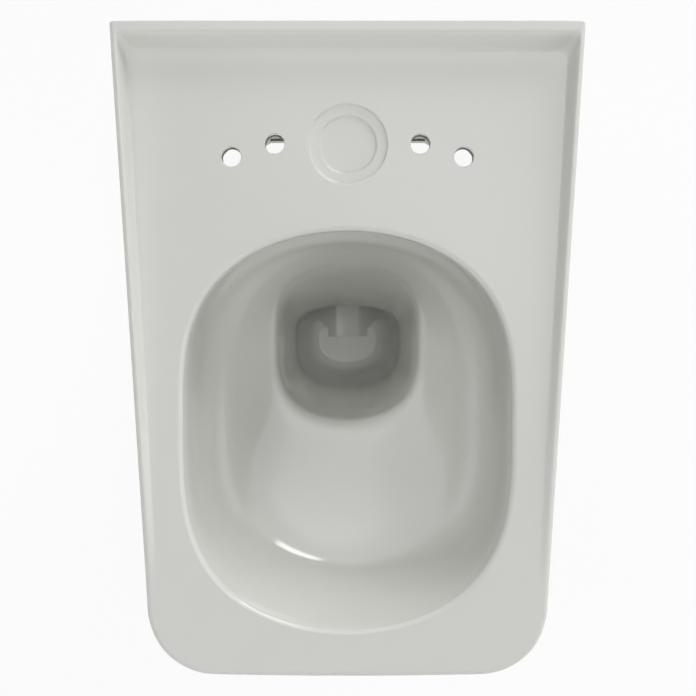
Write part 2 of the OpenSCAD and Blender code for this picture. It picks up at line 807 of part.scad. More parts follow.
// Wedge nut on the side screw, between the pad and the sloping arm
module clamp_wedge(side) {
    x1 = arm_tip_x - wedge_len;
    x2 = arm_tip_x;
    slope = arm_slope / arm_len;
    root_y = block_front - arm_root_t - seat_gap;
    color([0.74, 0.68, 0.5])
        on_side(side)
            difference() {
                translate([0, 0, -wedge_h])
                    linear_extrude(2 * wedge_h)
                        polygon([
                            [x1, -pad_t - seat_gap],
                            [x2, -pad_t - seat_gap],
                            [x2, -root_y + slope * (x2 - hub_x)],
                            [x1, -root_y + slope * (x1 - hub_x)]
                        ]);
                outwards(x1 - cut, screw_y, 0)
                    cylinder(r = screw_r + run_gap, h = wedge_len + 2 * cut, $fn = small_fn);
            }
}

// Side screw: the shank reaches from near the block to its head in the access hole
module side_screw(side) {
    socket_r = key_af / 2 / cos(30);
    socket_depth = screw_head_h * 0.6;
    tip_x = hub_x + tip_room;
    color([0.72, 0.73, 0.75])
        on_side(side)
            difference() {
                union() {
                    outwards(tip_x, screw_y, 0)
                        cylinder(r = screw_r, h = head_x + cut - tip_x, $fn = small_fn);
                    outwards(head_x, screw_y, 0)
                        cylinder(r = screw_head_r, h = screw_head_h, $fn = small_fn);
                }
                outwards(head_end_x - socket_depth, screw_y, 0)
                    cylinder(r = socket_r, h = screw_head_h, $fn = 6);
            }
}

// Open clip on the shank that keeps the screw in its bush
module screw_clip(side) {
    mouth = screw_r * 1.4;
    color([0.3, 0.31, 0.33])
        on_side(side)
            outwards(bush_end_x - seat_gap - clip_t, screw_y, 0)
                difference() {
                    cylinder(r = clip_r, h = clip_t, $fn = small_fn);
                    translate([0, 0, -cut]) cylinder(r = screw_r, h = clip_t + 2 * cut, $fn = small_fn);
                    translate([-mouth / 2, 0, -cut])
                        cube([mouth, clip_r + cut, clip_t + 2 * cut]);
                }
}

// Plastic bush in the side of the pan: its flange bears on the shoulder of the access hole
module screw_bush(side) {
    length = shoulder_x + bush_flange_t - bush_end_x;
    color([0.88, 0.88, 0.86])
        on_side(side)
            difference() {
                union() {
                    outwards(bush_end_x, screw_y, 0)
                        cylinder(r = bush_r - seat_gap, h = length, $fn = small_fn);
                    outwards(shoulder_x, screw_y, 0)
                        cylinder(r = access_r - seat_gap, h = bush_flange_t, $fn = small_fn);
                }
                outwards(bush_end_x - cut, screw_y, 0)
                    cylinder(r = screw_r + run_gap, h = length + 2 * cut, $fn = small_fn);
            }
}

// Cap over the access hole, flush with the side of the pan
module cover_cap(side) {
    plug_r = access_r - seat_gap;
    plug_wall = 2;
    color([0.86, 0.85, 0.83])
        on_side(side)
            difference() {
                intersection() {
                    union() {
                        outwards(cap_seat_x, screw_y, 0)
                            cylinder(r = cap_r, h = cap_t + 4 * cut, $fn = small_fn);
                        outwards(cap_seat_x - cap_plug_len, screw_y, 0)
                            cylinder(r = plug_r, h = cap_plug_len + cut, $fn = small_fn);
                    }
                    outer_form();
                }
                outwards(cap_seat_x - cap_plug_len - cut, screw_y, 0)
                    cylinder(r = plug_r - plug_wall, h = cap_plug_len + cut, $fn = small_fn);
            }
}

pan();
inlet_seal();
flush_distributor();
outlet_seal();
stud_sleeve(-1);  // left_stud_sleeve
fixing_block(-1);  // left_fixing_block
stud_nut(-1);  // left_stud_nut
clamp_wedge(-1);  // left_clamp_wedge
side_screw(-1);  // left_side_screw
screw_clip(-1);  // left_screw_clip
screw_bush(-1);  // left_screw_bush
cover_cap(-1);  // left_cover_cap
stud_sleeve(1);  // right_stud_sleeve
fixing_block(1);  // right_fixing_block
stud_nut(1);  // right_stud_nut
clamp_wedge(1);  // right_clamp_wedge
side_screw(1);  // right_side_screw
screw_clip(1);  // right_screw_clip
screw_bush(1);  // right_screw_bush
cover_cap(1);  // right_cover_cap
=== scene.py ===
import json
import math

import bmesh
import bpy
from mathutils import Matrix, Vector


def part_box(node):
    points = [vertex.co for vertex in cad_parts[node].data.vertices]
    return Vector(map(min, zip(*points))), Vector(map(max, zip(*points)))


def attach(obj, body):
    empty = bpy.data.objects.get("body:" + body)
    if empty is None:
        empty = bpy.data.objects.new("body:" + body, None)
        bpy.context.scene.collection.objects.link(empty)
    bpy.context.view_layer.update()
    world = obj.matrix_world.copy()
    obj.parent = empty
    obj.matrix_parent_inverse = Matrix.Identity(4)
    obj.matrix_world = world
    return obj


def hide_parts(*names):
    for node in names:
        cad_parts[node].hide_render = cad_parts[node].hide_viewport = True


bl_info = {
    "name": "Wall hung toilet pan",
    "version": (1, 0, 0),
    "blender": (4, 5, 0),
    "location": "View3D > Sidebar > Toilet pan",
    "description": "Models a glazed wall hung toilet pan with its hidden wall fixing, "
                   "and a plain stage for it",
    "category": "Add Mesh",
}

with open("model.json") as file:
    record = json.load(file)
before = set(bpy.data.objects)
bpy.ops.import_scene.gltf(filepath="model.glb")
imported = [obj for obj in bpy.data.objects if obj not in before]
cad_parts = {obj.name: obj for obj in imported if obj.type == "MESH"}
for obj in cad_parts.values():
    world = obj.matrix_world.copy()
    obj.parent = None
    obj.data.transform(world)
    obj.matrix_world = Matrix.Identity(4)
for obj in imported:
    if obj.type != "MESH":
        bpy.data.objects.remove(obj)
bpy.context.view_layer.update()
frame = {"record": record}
PAN_LOW, PAN_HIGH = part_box("pan")

UP, FORWARD, RIGHT = (0, 0, 1), (0, -1, 0), (1, 0, 0)
SIDES = (-1, 1)


def mix(a, b, t):
    """Point at share t of the way from a to b."""
    return a + (b - a) * t


def clamp(t):
    """t, kept between 0 and 1."""
    return max(0.0, min(1.0, t))


def ease(t):
    """Soft step from 0 to 1."""
    t = clamp(t)
    return t * t * (3 - 2 * t)


# Sizes and colours that a user would change


def metres(name, description, default, **limits):
    """A length that the user can set, in metres."""
    return bpy.props.FloatProperty(
        name=name, description=description, default=default, unit="LENGTH", subtype="DISTANCE",
        **limits)


def metres_each(name, description, default):
    """Two or three lengths that belong together."""
    return bpy.props.FloatVectorProperty(
        name=name, description=description, size=len(default), default=default, unit="LENGTH",
        subtype="XYZ")


def paint(name, description, default):
    """A colour that the user can set."""
    return bpy.props.FloatVectorProperty(
        name=name, description=description, size=3, default=default, min=0, max=1, subtype="COLOR")


class PanSizes(bpy.types.PropertyGroup):
    """Outside of the pan, its ledge, its side rims and its deck"""

    width: metres(
        "Width at the wall", "Width of the pan at the wall",
        PAN_HIGH.x - PAN_LOW.x, min=0.3, max=0.45)
    front_width: metres(
        "Width at the front", "Width where the sides would meet the front plane",
        0.305, min=0.25, max=0.4)
    depth: metres("Depth", "Distance from the wall to the front", -PAN_LOW.y, min=0.45, max=0.6)
    deck: metres("Deck height", "Height of the deck above the wall studs", 0.08, min=0.06, max=0.1)
    underside: metres(
        "Underside depth", "Depth of the underside below the wall studs",
        -PAN_LOW.z, min=0.2, max=0.32)
    corner: metres(
        "Front corner radius", "Radius of the two front corners at the deck",
        0.054, min=0.03, max=0.08)
    front_bow: metres(
        "Front bow", "How far the front bows out between its corners", 0.0012, min=0.0, max=0.005)
    edge: metres(
        "Upper edge rounding", "Rounding of the upper outer edge", 0.0035, min=0.001, max=0.006)
    foot_width: metres(
        "Foot width at the wall", "Width of the underside at the wall", 0.326, min=0.25, max=0.36)
    foot_front_width: metres(
        "Foot width at its front", "Width of the underside at its front", 0.19, min=0.15, max=0.25)
    foot_depth: metres(
        "Foot depth", "Distance from the wall to the front of the underside",
        0.3, min=0.25, max=0.4)
    foot_corner: metres(
        "Foot corner radius", "Radius of the underside's front corners", 0.084, min=0.05, max=0.09)
    foot_edge: metres(
        "Lower edge rounding", "Rounding of the lower outer edge", 0.008, min=0.002, max=0.012)
    ledge: metres(
        "Ledge height", "Height of the ledge and the side rims above the deck",
        PAN_HIGH.z - 0.08, min=0.005, max=0.03)
    ledge_top: metres(
        "Ledge width", "Width of the flat top of the ledge", 0.009, min=0.005, max=0.015)
    ledge_slope: metres(
        "Ledge slope", "Width of the slope from the ledge down to the deck",
        0.0085, min=0.003, max=0.015)
    rim_top: metres(
        "Rim width", "Distance from the side of the pan to the top of the rim's inner slope",
        0.0045, min=0.003, max=0.01)
    rim_slope: metres(
        "Rim slope", "Width of the inner slope of the side rims", 0.004, min=0.002, max=0.008)
    rim_fade: metres(
        "Rim length", "Distance from the wall at which the side rims have run out into the deck",
        0.43, min=0.2, max=0.45)
    skirt: metres("Skirt thickness", "Thickness of the outer skirt", 0.012, min=0.006, max=0.016)
    back: metres("Back wall thickness", "Thickness of the back wall", 0.014, min=0.008, max=0.018)
    deck_thickness: metres("Deck thickness", "Thickness of the deck", 0.01, min=0.006, max=0.014)
    hole: metres("Deck hole radius", "Radius of the four deck holes", 0.0075, min=0.004, max=0.009)
    outer_hole: metres_each(
        "Outer deck holes", "Half spacing of the outer pair, and its place in front of the wall",
        (0.09, -0.1))
    inner_hole: metres_each(
        "Inner deck holes", "Half spacing of the inner pair, and its place in front of the wall",
        (0.05635, -0.09))
    recess: metres(
        "Recess radius", "Radius of the round recess in the deck", 0.0308, min=0.02, max=0.04)
    recess_step: metres(
        "Recess step radius", "Radius of the deeper step in the recess",
        0.0224, min=0.015, max=0.03)
    recess_depth: metres("Recess depth", "Depth of the round recess", 0.0025, min=0.0005, max=0.004)
    step_depth: metres(
        "Step depth", "Depth of the step below the recess", 0.002, min=0.0005, max=0.004)
    opening: metres(
        "Underside opening",
        "Distance from the wall to the front edge of the opening in the underside",
        0.188, min=0.1, max=0.2)


class BowlSizes(bpy.types.PropertyGroup):
    """Bowl, sump and trap"""

    width: metres(
        "Bowl width", "Width of the bowl just under its rounded edge", 0.2558, min=0.24, max=0.27)
    back: metres(
        "Bowl back", "Distance from the wall to the back of the bowl", 0.1568, min=0.15, max=0.17)
    front: metres(
        "Bowl front", "Distance from the wall to the front of the bowl", 0.4665, min=0.45, max=0.48)
    waist: metres(
        "Bowl waist", "Distance from the wall at which the bowl is widest",
        0.2967, min=0.28, max=0.31)
    lip: metres(
        "Bowl edge rounding", "Rounding of the bowl's upper edge", 0.004, min=0.002, max=0.006)
    wall: metres(
        "Wall depth", "Depth below the deck at which the upright wall turns into the shoulders",
        0.08, min=0.06, max=0.1)
    undercut: metres(
        "Undercut", "How far the back wall stands back under the bowl's edge",
        0.008, min=0.0, max=0.01)
    front_lean: metres(
        "Front lean", "How far the front wall leans in over the wall depth",
        0.028, min=0.01, max=0.04)
    sump_edge: metres(
        "Sump edge depth", "Depth below the deck of the upper edge of the sump",
        0.125, min=0.11, max=0.18)
    sump_width: metres(
        "Sump width", "Width of the sump at its upper edge", 0.129, min=0.11, max=0.14)
    sump_front: metres(
        "Sump front", "Distance from the wall to the front of the sump at its upper edge",
        0.3166, min=0.3, max=0.33)
    sump_waist: metres(
        "Sump waist", "Distance from the wall at which the sump is widest",
        0.235, min=0.22, max=0.25)
    sump_depth: metres(
        "Sump depth", "Depth below the deck of the sump's floor", 0.327, min=0.3, max=0.335)
    floor_width: metres("Sump floor width", "Width of the sump's floor", 0.1, min=0.08, max=0.11)
    floor_back: metres(
        "Sump floor back", "Distance from the wall to the back of the sump's floor",
        0.203, min=0.19, max=0.21)
    floor_front: metres(
        "Sump floor front", "Distance from the wall to the front of the sump's floor",
        0.282, min=0.27, max=0.29)
    shell: metres(
        "Bowl thickness", "Thickness of the bowl, the trap and the flush channel",
        0.01, min=0.006, max=0.012)


class FixingSizes(bpy.types.PropertyGroup):
    """Mouths and holes for the pipes and the fixing"""

    trap: metres("Trap radius", "Inside radius of the trap passage", 0.036)
    mouth: metres_each(
        "Trap mouth", "Half width and half height of the passage where it leaves the sump",
        (0.046, 0.031))
    trap_low: metres("Trap depth", "Depth of the trap's lowest centre point below the studs", 0.219)
    outlet: metres("Outlet depth", "Depth of the outlet's centre line below the studs", 0.1)
    spigot: metres("Spigot radius", "Outside radius of the waste spigot", 0.051)
    spigot_bore: metres("Spigot bore", "Inside radius of the waste spigot", 0.041)
    spigot_length: metres(
        "Spigot length", "Distance from the wall to the root of the spigot", 0.058)
    inlet: metres("Inlet height", "Height of the flush inlet above the studs", 0.035)
    socket: metres("Inlet socket radius", "Radius of the flush inlet's socket", 0.0275)
    socket_depth: metres("Inlet socket depth", "Depth of the flush inlet's socket", 0.03)
    slot: metres_each(
        "Flush slot", "Half width and half height of the flush slot in the bowl", (0.032, 0.013))
    slot_depth: metres("Flush slot depth", "Depth of the flush slot's centre below the deck", 0.031)
    stud: metres("Stud place", "Half the spacing of the wall studs", 0.09)
    stud_hole: metres("Stud hole radius", "Radius of the stud holes in the back wall", 0.0123)
    screw: metres("Side screw place", "Distance from the wall to the side screws", 0.035)
    access: metres("Access hole radius", "Radius of the access hole in the side of the pan", 0.0105)
    bush: metres("Bush hole radius", "Radius of the narrower inner part of the access hole", 0.008)
    cap: metres("Cap radius", "Radius of the cover cap", 0.014)


class FittingSizes(bpy.types.PropertyGroup):
    """Seals, distributor and the pieces of the wall fixing"""

    flush_pipe: metres(
        "Flush pipe radius", "Radius of the flush pipe that the inlet seal takes", 0.0225)
    distributor_wall: metres("Distributor wall", "Wall thickness of the flush distributor", 0.0025)
    stud_bore: metres("Stud bore radius", "Radius of the bores on the wall studs", 0.00625)
    stud_pitch: metres("Stud thread pitch", "Pitch of the thread in the stud nuts", 0.00175)
    sleeve: metres("Sleeve radius", "Radius of the stud sleeves", 0.012)
    collar: metres("Collar thickness", "Thickness of the sleeves' collars", 0.0015)
    hub: metres("Block hub width", "Width of the block's hub on the stud", 0.028)
    arm: metres("Block arm length", "Length of the block's arm", 0.028)
    arm_root: metres("Arm root thickness", "Thickness of the arm where it leaves the hub", 0.011)
    arm_slope: metres("Arm slope", "How much thicker the arm gets towards its tip", 0.007)
    screw: metres("Side screw radius", "Radius of the side screws over their thread", 0.004)
    screw_pitch: metres("Side screw pitch", "Pitch of the side screws' thread", 0.002)
    screw_bore: metres(
        "Side screw bore radius", "Radius of the bores in which the side screws run", 0.00408)
    screw_head: metres("Screw head height", "Height of the side screws' heads", 0.006)
    key: metres("Key width", "Width across the flats of the hexagon key", 0.006)
    flange: metres("Bush flange thickness", "Thickness of the bushes' flanges", 0.003)
    plug: metres("Cap plug radius", "Radius of the cover caps' plugs", 0.0102)
    plug_wall: metres("Cap plug wall", "Wall thickness of the plugs", 0.002)
    plug_length: metres("Cap plug length", "Length of the plugs", 0.005)


class FinishColours(bpy.types.PropertyGroup):
    """Colours of the finishes"""

    china: paint("Glaze", "Colour of the glazed china", (0.735, 0.742, 0.702))
    # Painted shade: a greener colour given to the glaze down in the sump, standing in for light
    # that has bounced there many times; the glaze itself is no different there
    painted_sump_shade: paint(
        "Painted sump shade", "Colour of the greenish shade painted on the glaze down in the sump",
        (0.735, 0.742, 0.6))
    bare_china: paint("Bare china", "Colour of the unglazed china", (0.66, 0.64, 0.59))
    rubber: paint("Rubber", "Colour of the seals", (0.02, 0.02, 0.022))
    plastic: paint(
        "Moulded plastic", "Colour of the sleeves, bushes and distributor", (0.66, 0.66, 0.63))
    zinc: paint("Cast zinc", "Colour of the fixing blocks", (0.4, 0.41, 0.43))
    steel: paint("Plated steel", "Colour of the screws and nuts", (0.56, 0.57, 0.59))
    spring: paint("Spring steel", "Colour of the retaining clips", (0.07, 0.07, 0.08))
    brass: paint("Brass", "Colour of the wedge nuts", (0.62, 0.45, 0.2))


class StageSizes(bpy.types.PropertyGroup):
    """Floor, light and camera"""

    floor: metres("Floor height", "Height of the floor, measured from the wall studs", -0.32)
    floor_size: metres("Floor size", "Length of the floor's sides", 12.0)
    floor_lift: bpy.props.FloatProperty(
        name="Floor whiteness",
        description="Share of the floor's white that doesn't come from the light",
        default=0.88, min=0, max=1, subtype="FACTOR")
    room_light: bpy.props.FloatProperty(
        name="Room light", description="Factor on the brightness of the room and its panels",
        default=1.02, min=0)
    camera: metres_each(
        "Camera place", "Place of the camera, which looks straight down", (0.00035, -0.248, 0.828))


# Working in the modelling window's terms: selection, lofts, turned forms and cuts


def deselect_all():
    """Leave nothing selected, so that an operator acts only on what comes next."""
    if bpy.context.object and bpy.context.object.mode != "OBJECT":
        bpy.ops.object.mode_set(mode="OBJECT")
    bpy.ops.object.select_all(action="DESELECT")


def pick(piece):
    """Select one piece alone and make it active."""
    deselect_all()
    piece.select_set(True)
    bpy.context.view_layer.objects.active = piece
    return piece


def face_outwards(piece):
    """In edit mode, turn all the faces of a closed form outwards."""
    bpy.ops.mesh.select_all(action="SELECT")
    bpy.ops.mesh.normals_make_consistent(inside=False)
    if bmesh.from_edit_mesh(piece.data).calc_volume(signed=True) < 0:
        bpy.ops.mesh.flip_normals()


def loft(name, rings, material=None):
    """A closed form: a filled circle is laid at the first ring and extruded to each next ring."""
    deselect_all()
    bpy.ops.mesh.primitive_circle_add(vertices=len(rings[0]), radius=0.1, fill_type="NGON")
    piece = bpy.context.object
    piece.name = name
    bpy.ops.object.mode_set(mode="EDIT")
    mesh = bmesh.from_edit_mesh(piece.data)
    place = mesh.verts.layers.int.new("place")
    mesh.verts.ensure_lookup_table()
    for index, vert in enumerate(mesh.verts):
        vert[place] = index
        vert.co = rings[0][index]
    for ring in rings[1:]:
        bmesh.update_edit_mesh(piece.data)
        bpy.ops.mesh.extrude_region_move(TRANSFORM_OT_translate={"value": (0, 0, 0.001)})
        mesh = bmesh.from_edit_mesh(piece.data)
        place = mesh.verts.layers.int["place"]
        for vert in mesh.verts:
            if vert.select:
                vert.co = ring[vert[place]]
    bmesh.update_edit_mesh(piece.data)
    face_outwards(piece)
    bpy.ops.object.mode_set(mode="OBJECT")
    piece.data.attributes.remove(piece.data.attributes["place"])
    piece.location = (0, 0, 0)
    if material:
        piece.data.materials.append(material)
    return piece


def circle(radius, along, centre, axis, points=64):
    """A ring of a turned form, at distance along its axis from the centre."""
    turn = Vector(UP).rotation_difference(Vector(axis)).to_matrix()
    angles = [2 * math.pi * i / points for i in range(points)]
    return [Vector(centre) + turn @ Vector((radius * math.cos(t), radius * math.sin(t), along))
            for t in angles]


def turned(name, profile, centre, axis, points=64, material=None):
    """A turned form: profile is a list of (radius, distance along the axis)."""
    rings = [circle(radius, along, centre, axis, points) for radius, along in profile]
    return loft(name, rings, material)


def plate(name, outline, low, high, axis, material=None):
    """A flat form: an outline drawn across the axis and extruded along it from low to high."""
    order = {"X": (2, 0, 1), "Y": (0, 2, 1), "Z": (0, 1, 2)}[axis]
    rings = [[Vector([(p[0], p[1], level)[i] for i in order]) for p in outline]
             for level in (low, high)]
    return loft(name, rings, material)


def combine(piece, tool, operation="DIFFERENCE"):
    """Cut the tool out of the piece, or join the two, and remove the tool."""
    modifier = piece.modifiers.new("cut", "BOOLEAN")
    modifier.operation = operation
    modifier.solver = "MANIFOLD"
    modifier.object = tool
    pick(piece)
    bpy.ops.object.modifier_apply(modifier="cut")
    bpy.data.objects.remove(tool, do_unlink=True)
    return piece


def drill(piece, *form):
    """Cut a turned form out of the piece."""
    return combine(piece, turned(*form))


def smooth(piece):
    """Shade a finished piece smooth. The large faces lead, so that flat areas stay flat."""
    pick(piece)
    bpy.ops.object.material_slot_remove_unused()
    bpy.ops.object.shade_smooth_by_angle(angle=math.radians(32))
    modifier = piece.modifiers.new("normals", "WEIGHTED_NORMAL")
    modifier.keep_sharp = True
    modifier.weight = 80
    bpy.ops.object.modifier_apply(modifier="normals")


# Outline of the outside, the same as the CAD part's


def plan_at(sizes, z):
    """Half width at the wall, half width at the front, reach and corner radius at height z."""
    share = clamp((sizes.deck - z) / (sizes.deck + sizes.underside))
    return (mix(sizes.width, sizes.foot_width, share ** 1.3) / 2,
            mix(sizes.front_width, sizes.foot_front_width, share ** 1.7) / 2,
            mix(sizes.depth, sizes.foot_depth, share ** 2.2),
            mix(sizes.corner, sizes.foot_corner, share))


def side_x(sizes, z, y):
    """Half width of the outside at height z and distance y from the wall."""
    at_wall, at_front, reach, _ = plan_at(sizes, z)
    return at_wall - (at_wall - at_front) * y / reach


def rim_height(sizes, y):
    """Height of the ledge and the side rims over the deck at distance y from the wall."""
    start = sizes.ledge_top + sizes.ledge_slope + 0.006
    run = (y - start) / (sizes.rim_fade - start)
    soft = 0.02
    if run < soft:
        return sizes.ledge * (1 - (max(0.0, run + soft) ** 2) / (4 * soft))
    if run > 1 - soft:
        return sizes.ledge * (max(0.0, 1 + soft - run) ** 2) / (4 * soft)
    return sizes.ledge * (1 - run)


# Spots along the right half of the outline: part of the outline and share of that part
SPOTS = ([("back", i / 10) for i in range(10)] + [("turn", i / 6) for i in range(7)]
         + [("side", (i + 1) / 60) for i in range(59)] + [("bend", i / 26) for i in range(27)]
         + [("bow", (i + 1) / 12) for i in range(12)])


def outline_point(sizes, spot, z, inset, back, turn):
    """Point of the outline at height z: drawn in by inset, back edge at back, rounded by turn."""
    part, share = spot
    at_wall, at_front, reach, corner = plan_at(sizes, z)
    angle = math.atan((at_wall - at_front) / reach)
    far = reach - sizes.front_bow
    bend_y = far - corner
    drawn = inset / math.cos(angle)
    bend_x = side_x(sizes, z, bend_y) - corner / math.cos(angle)
    if part in ("back", "turn"):
        turn_x = side_x(sizes, z, back + turn) - drawn - turn
        if part == "back":
            return Vector((turn_x * share, -back, z))
        theta = mix(90, 0, share) * math.pi / 180
        return Vector((turn_x + turn * math.cos(theta), -back - turn + turn * math.sin(theta), z))
    if part == "side":
        y = mix(back + turn, bend_y + corner * math.sin(angle), share)
        return Vector((side_x(sizes, z, y) - drawn, -y, z))
    if part == "bend":
        theta = mix(-angle, -math.pi / 2, share)
        radius = corner - inset
        return Vector((bend_x + radius * math.cos(theta), -bend_y + radius * math.sin(theta), z))
    x = bend_x * (1 - share)
    return Vector((x, -far + inset - sizes.front_bow * (1 - (x / bend_x) ** 2), z))


def mirrored(half):
    """A right half with its mirror image, as one closed ring."""
    return half + [Vector((-p.x, p.y, p.z)) for p in reversed(half[1:-1])]


def flat_ring(sizes, z, inset, back, turn):
    """A whole ring of the outline at one height."""
    return mirrored([outline_point(sizes, spot, z, inset, back, turn) for spot in SPOTS])


def deck_ring(sizes, inset, back, turn, share, drop, back_drop):
    """A ring of the top: share is 0 on the deck and 1 on the rims, drop and back_drop are how far
    it lies under the edge of the rims and of the ledge."""
    blend = 0.01
    half = []
    for spot in SPOTS:
        point = outline_point(sizes, spot, sizes.deck, inset, back, turn)
        near_side = ease(1 - (side_x(sizes, sizes.deck, -point.y) - inset - point.x) / blend)
        fall = mix(back_drop, drop, near_side)
        point.z = sizes.deck + rim_height(sizes, -point.y) * share - fall
        half.append(point)
    return mirrored(half)


def soft_ramp(t, width):
    """Ramp from 0 to 1 over t from 0 to 1, with its two bends rounded over a width."""
    if t < -width:
        return 0.0
    if t < width:
        return (t + width) ** 2 / (4 * width)
    if t < 1 - width:
        return t
    if t < 1 + width:
        return 1 - (1 + width - t) ** 2 / (4 * width)
    return 1.0


def outer_rings(sizes):
    """Rings of the outside, from the deck over slopes, rims and skirt to the underside."""
    rings = []
    soft, slope_steps, edge_steps, levels, foot_steps = 0.22, 16, 6, 44, 6
    for i in range(slope_steps + 1):
        t = mix(-soft, 1 + soft, i / slope_steps)
        inset = sizes.rim_top + sizes.rim_slope * (1 - t)
        back = sizes.ledge_top + sizes.ledge_slope * (1 - t)
        turn = mix(0.007, 0.004, clamp(t))
        rings.append(deck_ring(sizes, inset, back, turn, soft_ramp(t, soft), 0, 0))
    back_edge, turn = 0.0012, 0.002
    inset = mix(sizes.rim_top - sizes.rim_slope * soft, sizes.edge, 0.5)
    back = mix(sizes.ledge_top - sizes.ledge_slope * soft, back_edge, 0.5)
    rings.append(deck_ring(sizes, inset, back, 0.003, 1, 0, 0))
    for i in range(edge_steps + 1):
        phi = math.radians(90 * i / edge_steps)
        out, fall = 1 - math.sin(phi), 1 - math.cos(phi)
        rings.append(deck_ring(sizes, sizes.edge * out, back_edge * out, turn, 1,
                               sizes.edge * fall, back_edge * fall))
    top = rings[-1]
    low = -sizes.underside + sizes.foot_edge
    for i in range(1, levels + 1):
        rings.append(mirrored([
            outline_point(sizes, spot, mix(top[index].z, low, i / levels), 0, 0, turn)
            for index, spot in enumerate(SPOTS)]))
    for i in range(1, foot_steps + 1):
        phi = math.radians(90 / foot_steps * i)
        rings.append(flat_ring(sizes, low - sizes.foot_edge * math.sin(phi),
                               sizes.foot_edge * (1 - math.cos(phi)), 0, turn))
    return rings


# The bowl, the trap and the flush channel, the same as the CAD part's


def spline(rows, count):
    """Smooth rows through the given key rows, count to each span."""
    result = []
    last = len(rows) - 2
    for k in range(last + 1):
        keys = rows[max(k - 1, 0)], rows[k], rows[k + 1], rows[min(k + 2, last + 1)]
        near, span, far = [math.dist(a[:4], b[:4]) ** 0.5 or 1e-6 for a, b in zip(keys, keys[1:])]
        for i in range(count):
            t = i / count
            row = []
            for p0, p1, p2, p3 in zip(*keys):
                middle = (p2 - p1) / span
                start = end = middle
                if k > 0:
                    start = ((p1 - p0) / near * span + middle * near) / (near + span)
                if k < last:
                    end = ((p3 - p2) / far * span + middle * far) / (span + far)
                row.append(mix(p1, p2, t * t * (3 - 2 * t)) + t * (1 - t) ** 2 * (start * span)
                           - t * t * (1 - t) * (end * span))
            result.append(row)
    return result + [list(rows[-1])]


def ring_angles(points):
    """Angles round a ring, from its top to the right, the same on its two halves."""
    return [math.pi / 2 - (i + 0.5) * 2 * math.pi / points for i in range(points)]


def squared(reach, wave, square):
    """Reach along one axis of a ring between an ellipse (square is 2) and a rectangle."""
    return math.copysign(reach * abs(wave) ** (2 / square), wave)


def egg_ring(z, half, back, front, waist, square_back, square_front, points=160):
    """An egg-shaped ring at height z: back, front and widest place are measured from the wall."""
    ring = []
    for t in ring_angles(points):
        sine = math.sin(t)
        reach, square = (waist - back, square_back) if sine > 0 else (front - waist, square_front)
        ring.append(Vector((half * math.cos(t), -waist + squared(reach, sine, square), z)))
    return ring


def bowl_rows(sizes, bowl, fixing):
    """Key rows of the bowl's inside under its rounded edge: height, half width, back, front,
    waist and the squareness of its back and its front."""
    half, sump, base = bowl.width / 2, bowl.sump_width / 2, bowl.floor_width / 2
    shoulder_z, sump_z = sizes.deck - bowl.wall, sizes.deck - bowl.sump_edge
    floor_z = sizes.deck - bowl.sump_depth
    front_foot = bowl.front - bowl.front_lean
    sump_back, wall_foot = bowl.back + 0.017, bowl.back + 0.006
    undercut_end = 0.058
    # Depth, how far the sides and the back stand inwards, and the share of the front's lean
    walls = [
        (0.012, 0.0002, 0, 0.05),
        (0.012 + bowl.undercut * 0.7, 0.0004, -bowl.undercut, 0.12),
        (fixing.slot_depth + fixing.slot[1] + 0.002, 0.001, -bowl.undercut, 0.5),
        (undercut_end, 0.004, 0.001, 0.68),
        (mix(undercut_end, bowl.wall, 0.6), 0.012, 0.0042, 0.88),
    ]
    # Shares of the way down and back, inwards at the sides, at the front and at the waist
    shoulders = [
        (0.1, 0.43, 0.02, 0.1),
        (0.3, 0.557, 0.127, 0.25),
        (0.55, 0.716, 0.43, 0.5),
        (0.85, 0.905, 0.82, 0.85),
    ]
    # Shares of the way down, inwards at the sides and the front, and at the back
    sumps = [(0, 0, 0), (0.07, 0.17, 0.11), (0.35, 0.42, 0.57), (0.62, 0.7, 1), (0.86, 0.93, 1)]
    rows = [(sizes.deck - depth, half - inwards, bowl.back + back,
             bowl.front - bowl.front_lean * lean, bowl.waist, 3, 3.6)
            for depth, inwards, back, lean in walls]
    rows += [(mix(shoulder_z, sump_z, a), mix(half, sump, b), mix(wall_foot, sump_back, a),
              mix(front_foot, bowl.sump_front, c), mix(bowl.waist, bowl.sump_waist, d), 3, 3.6)
             for a, b, c, d in shoulders]
    rows += [(mix(sump_z, floor_z, a), mix(sump, base, b), mix(sump_back, bowl.floor_back, c),
              mix(bowl.sump_front, bowl.floor_front, b), bowl.sump_waist, 3.4, 3.6)
             for a, b, c in sumps]
    rows += [(floor_z + up, base - inwards, bowl.floor_back + inwards,
              bowl.floor_front - inwards, bowl.sump_waist, 3, 3)
             for up, inwards in ((0.006, 0.007), (0, 0.02))]
    return rows


def bowl_rings(sizes, bowl, fixing, grow=0.0):
    """Rings of the bowl from its edge to the sump's floor; grow makes the outside of its shell."""
    rows = bowl_rows(sizes, bowl, fixing)
    half = bowl.width / 2
    plan = (bowl.waist, 3, 3.6)
    if grow:
        top = sizes.deck - sizes.deck_thickness / 2
        rows = [(top, half, bowl.back, bowl.front, *plan)] + rows
        sink = [0] * (len(rows) - 2) + [grow * 0.7] * 2
        return [egg_ring(z - down, wide + grow, back - grow, front + grow, *rest)
                for (z, wide, back, front, *rest), down in zip(rows, sink)]
    out = bowl.lip * 1.3
    rings = [egg_ring(sizes.deck + 0.003, half + out, bowl.back - out, bowl.front + out, *plan)]
    lip_steps = 6
    for i in range(lip_steps + 1):
        phi = math.radians(3 + 87 * i / lip_steps)
        out = bowl.lip * (1 - math.sin(phi))
        z = sizes.deck - bowl.lip * (1 - math.cos(phi)) + (0.00004 if i == 0 else 0)
        rings.append(egg_ring(z, half + out, bowl.back - out, bowl.front + out, *plan))
    return rings + [egg_ring(*row) for row in spline(rows, 5)]


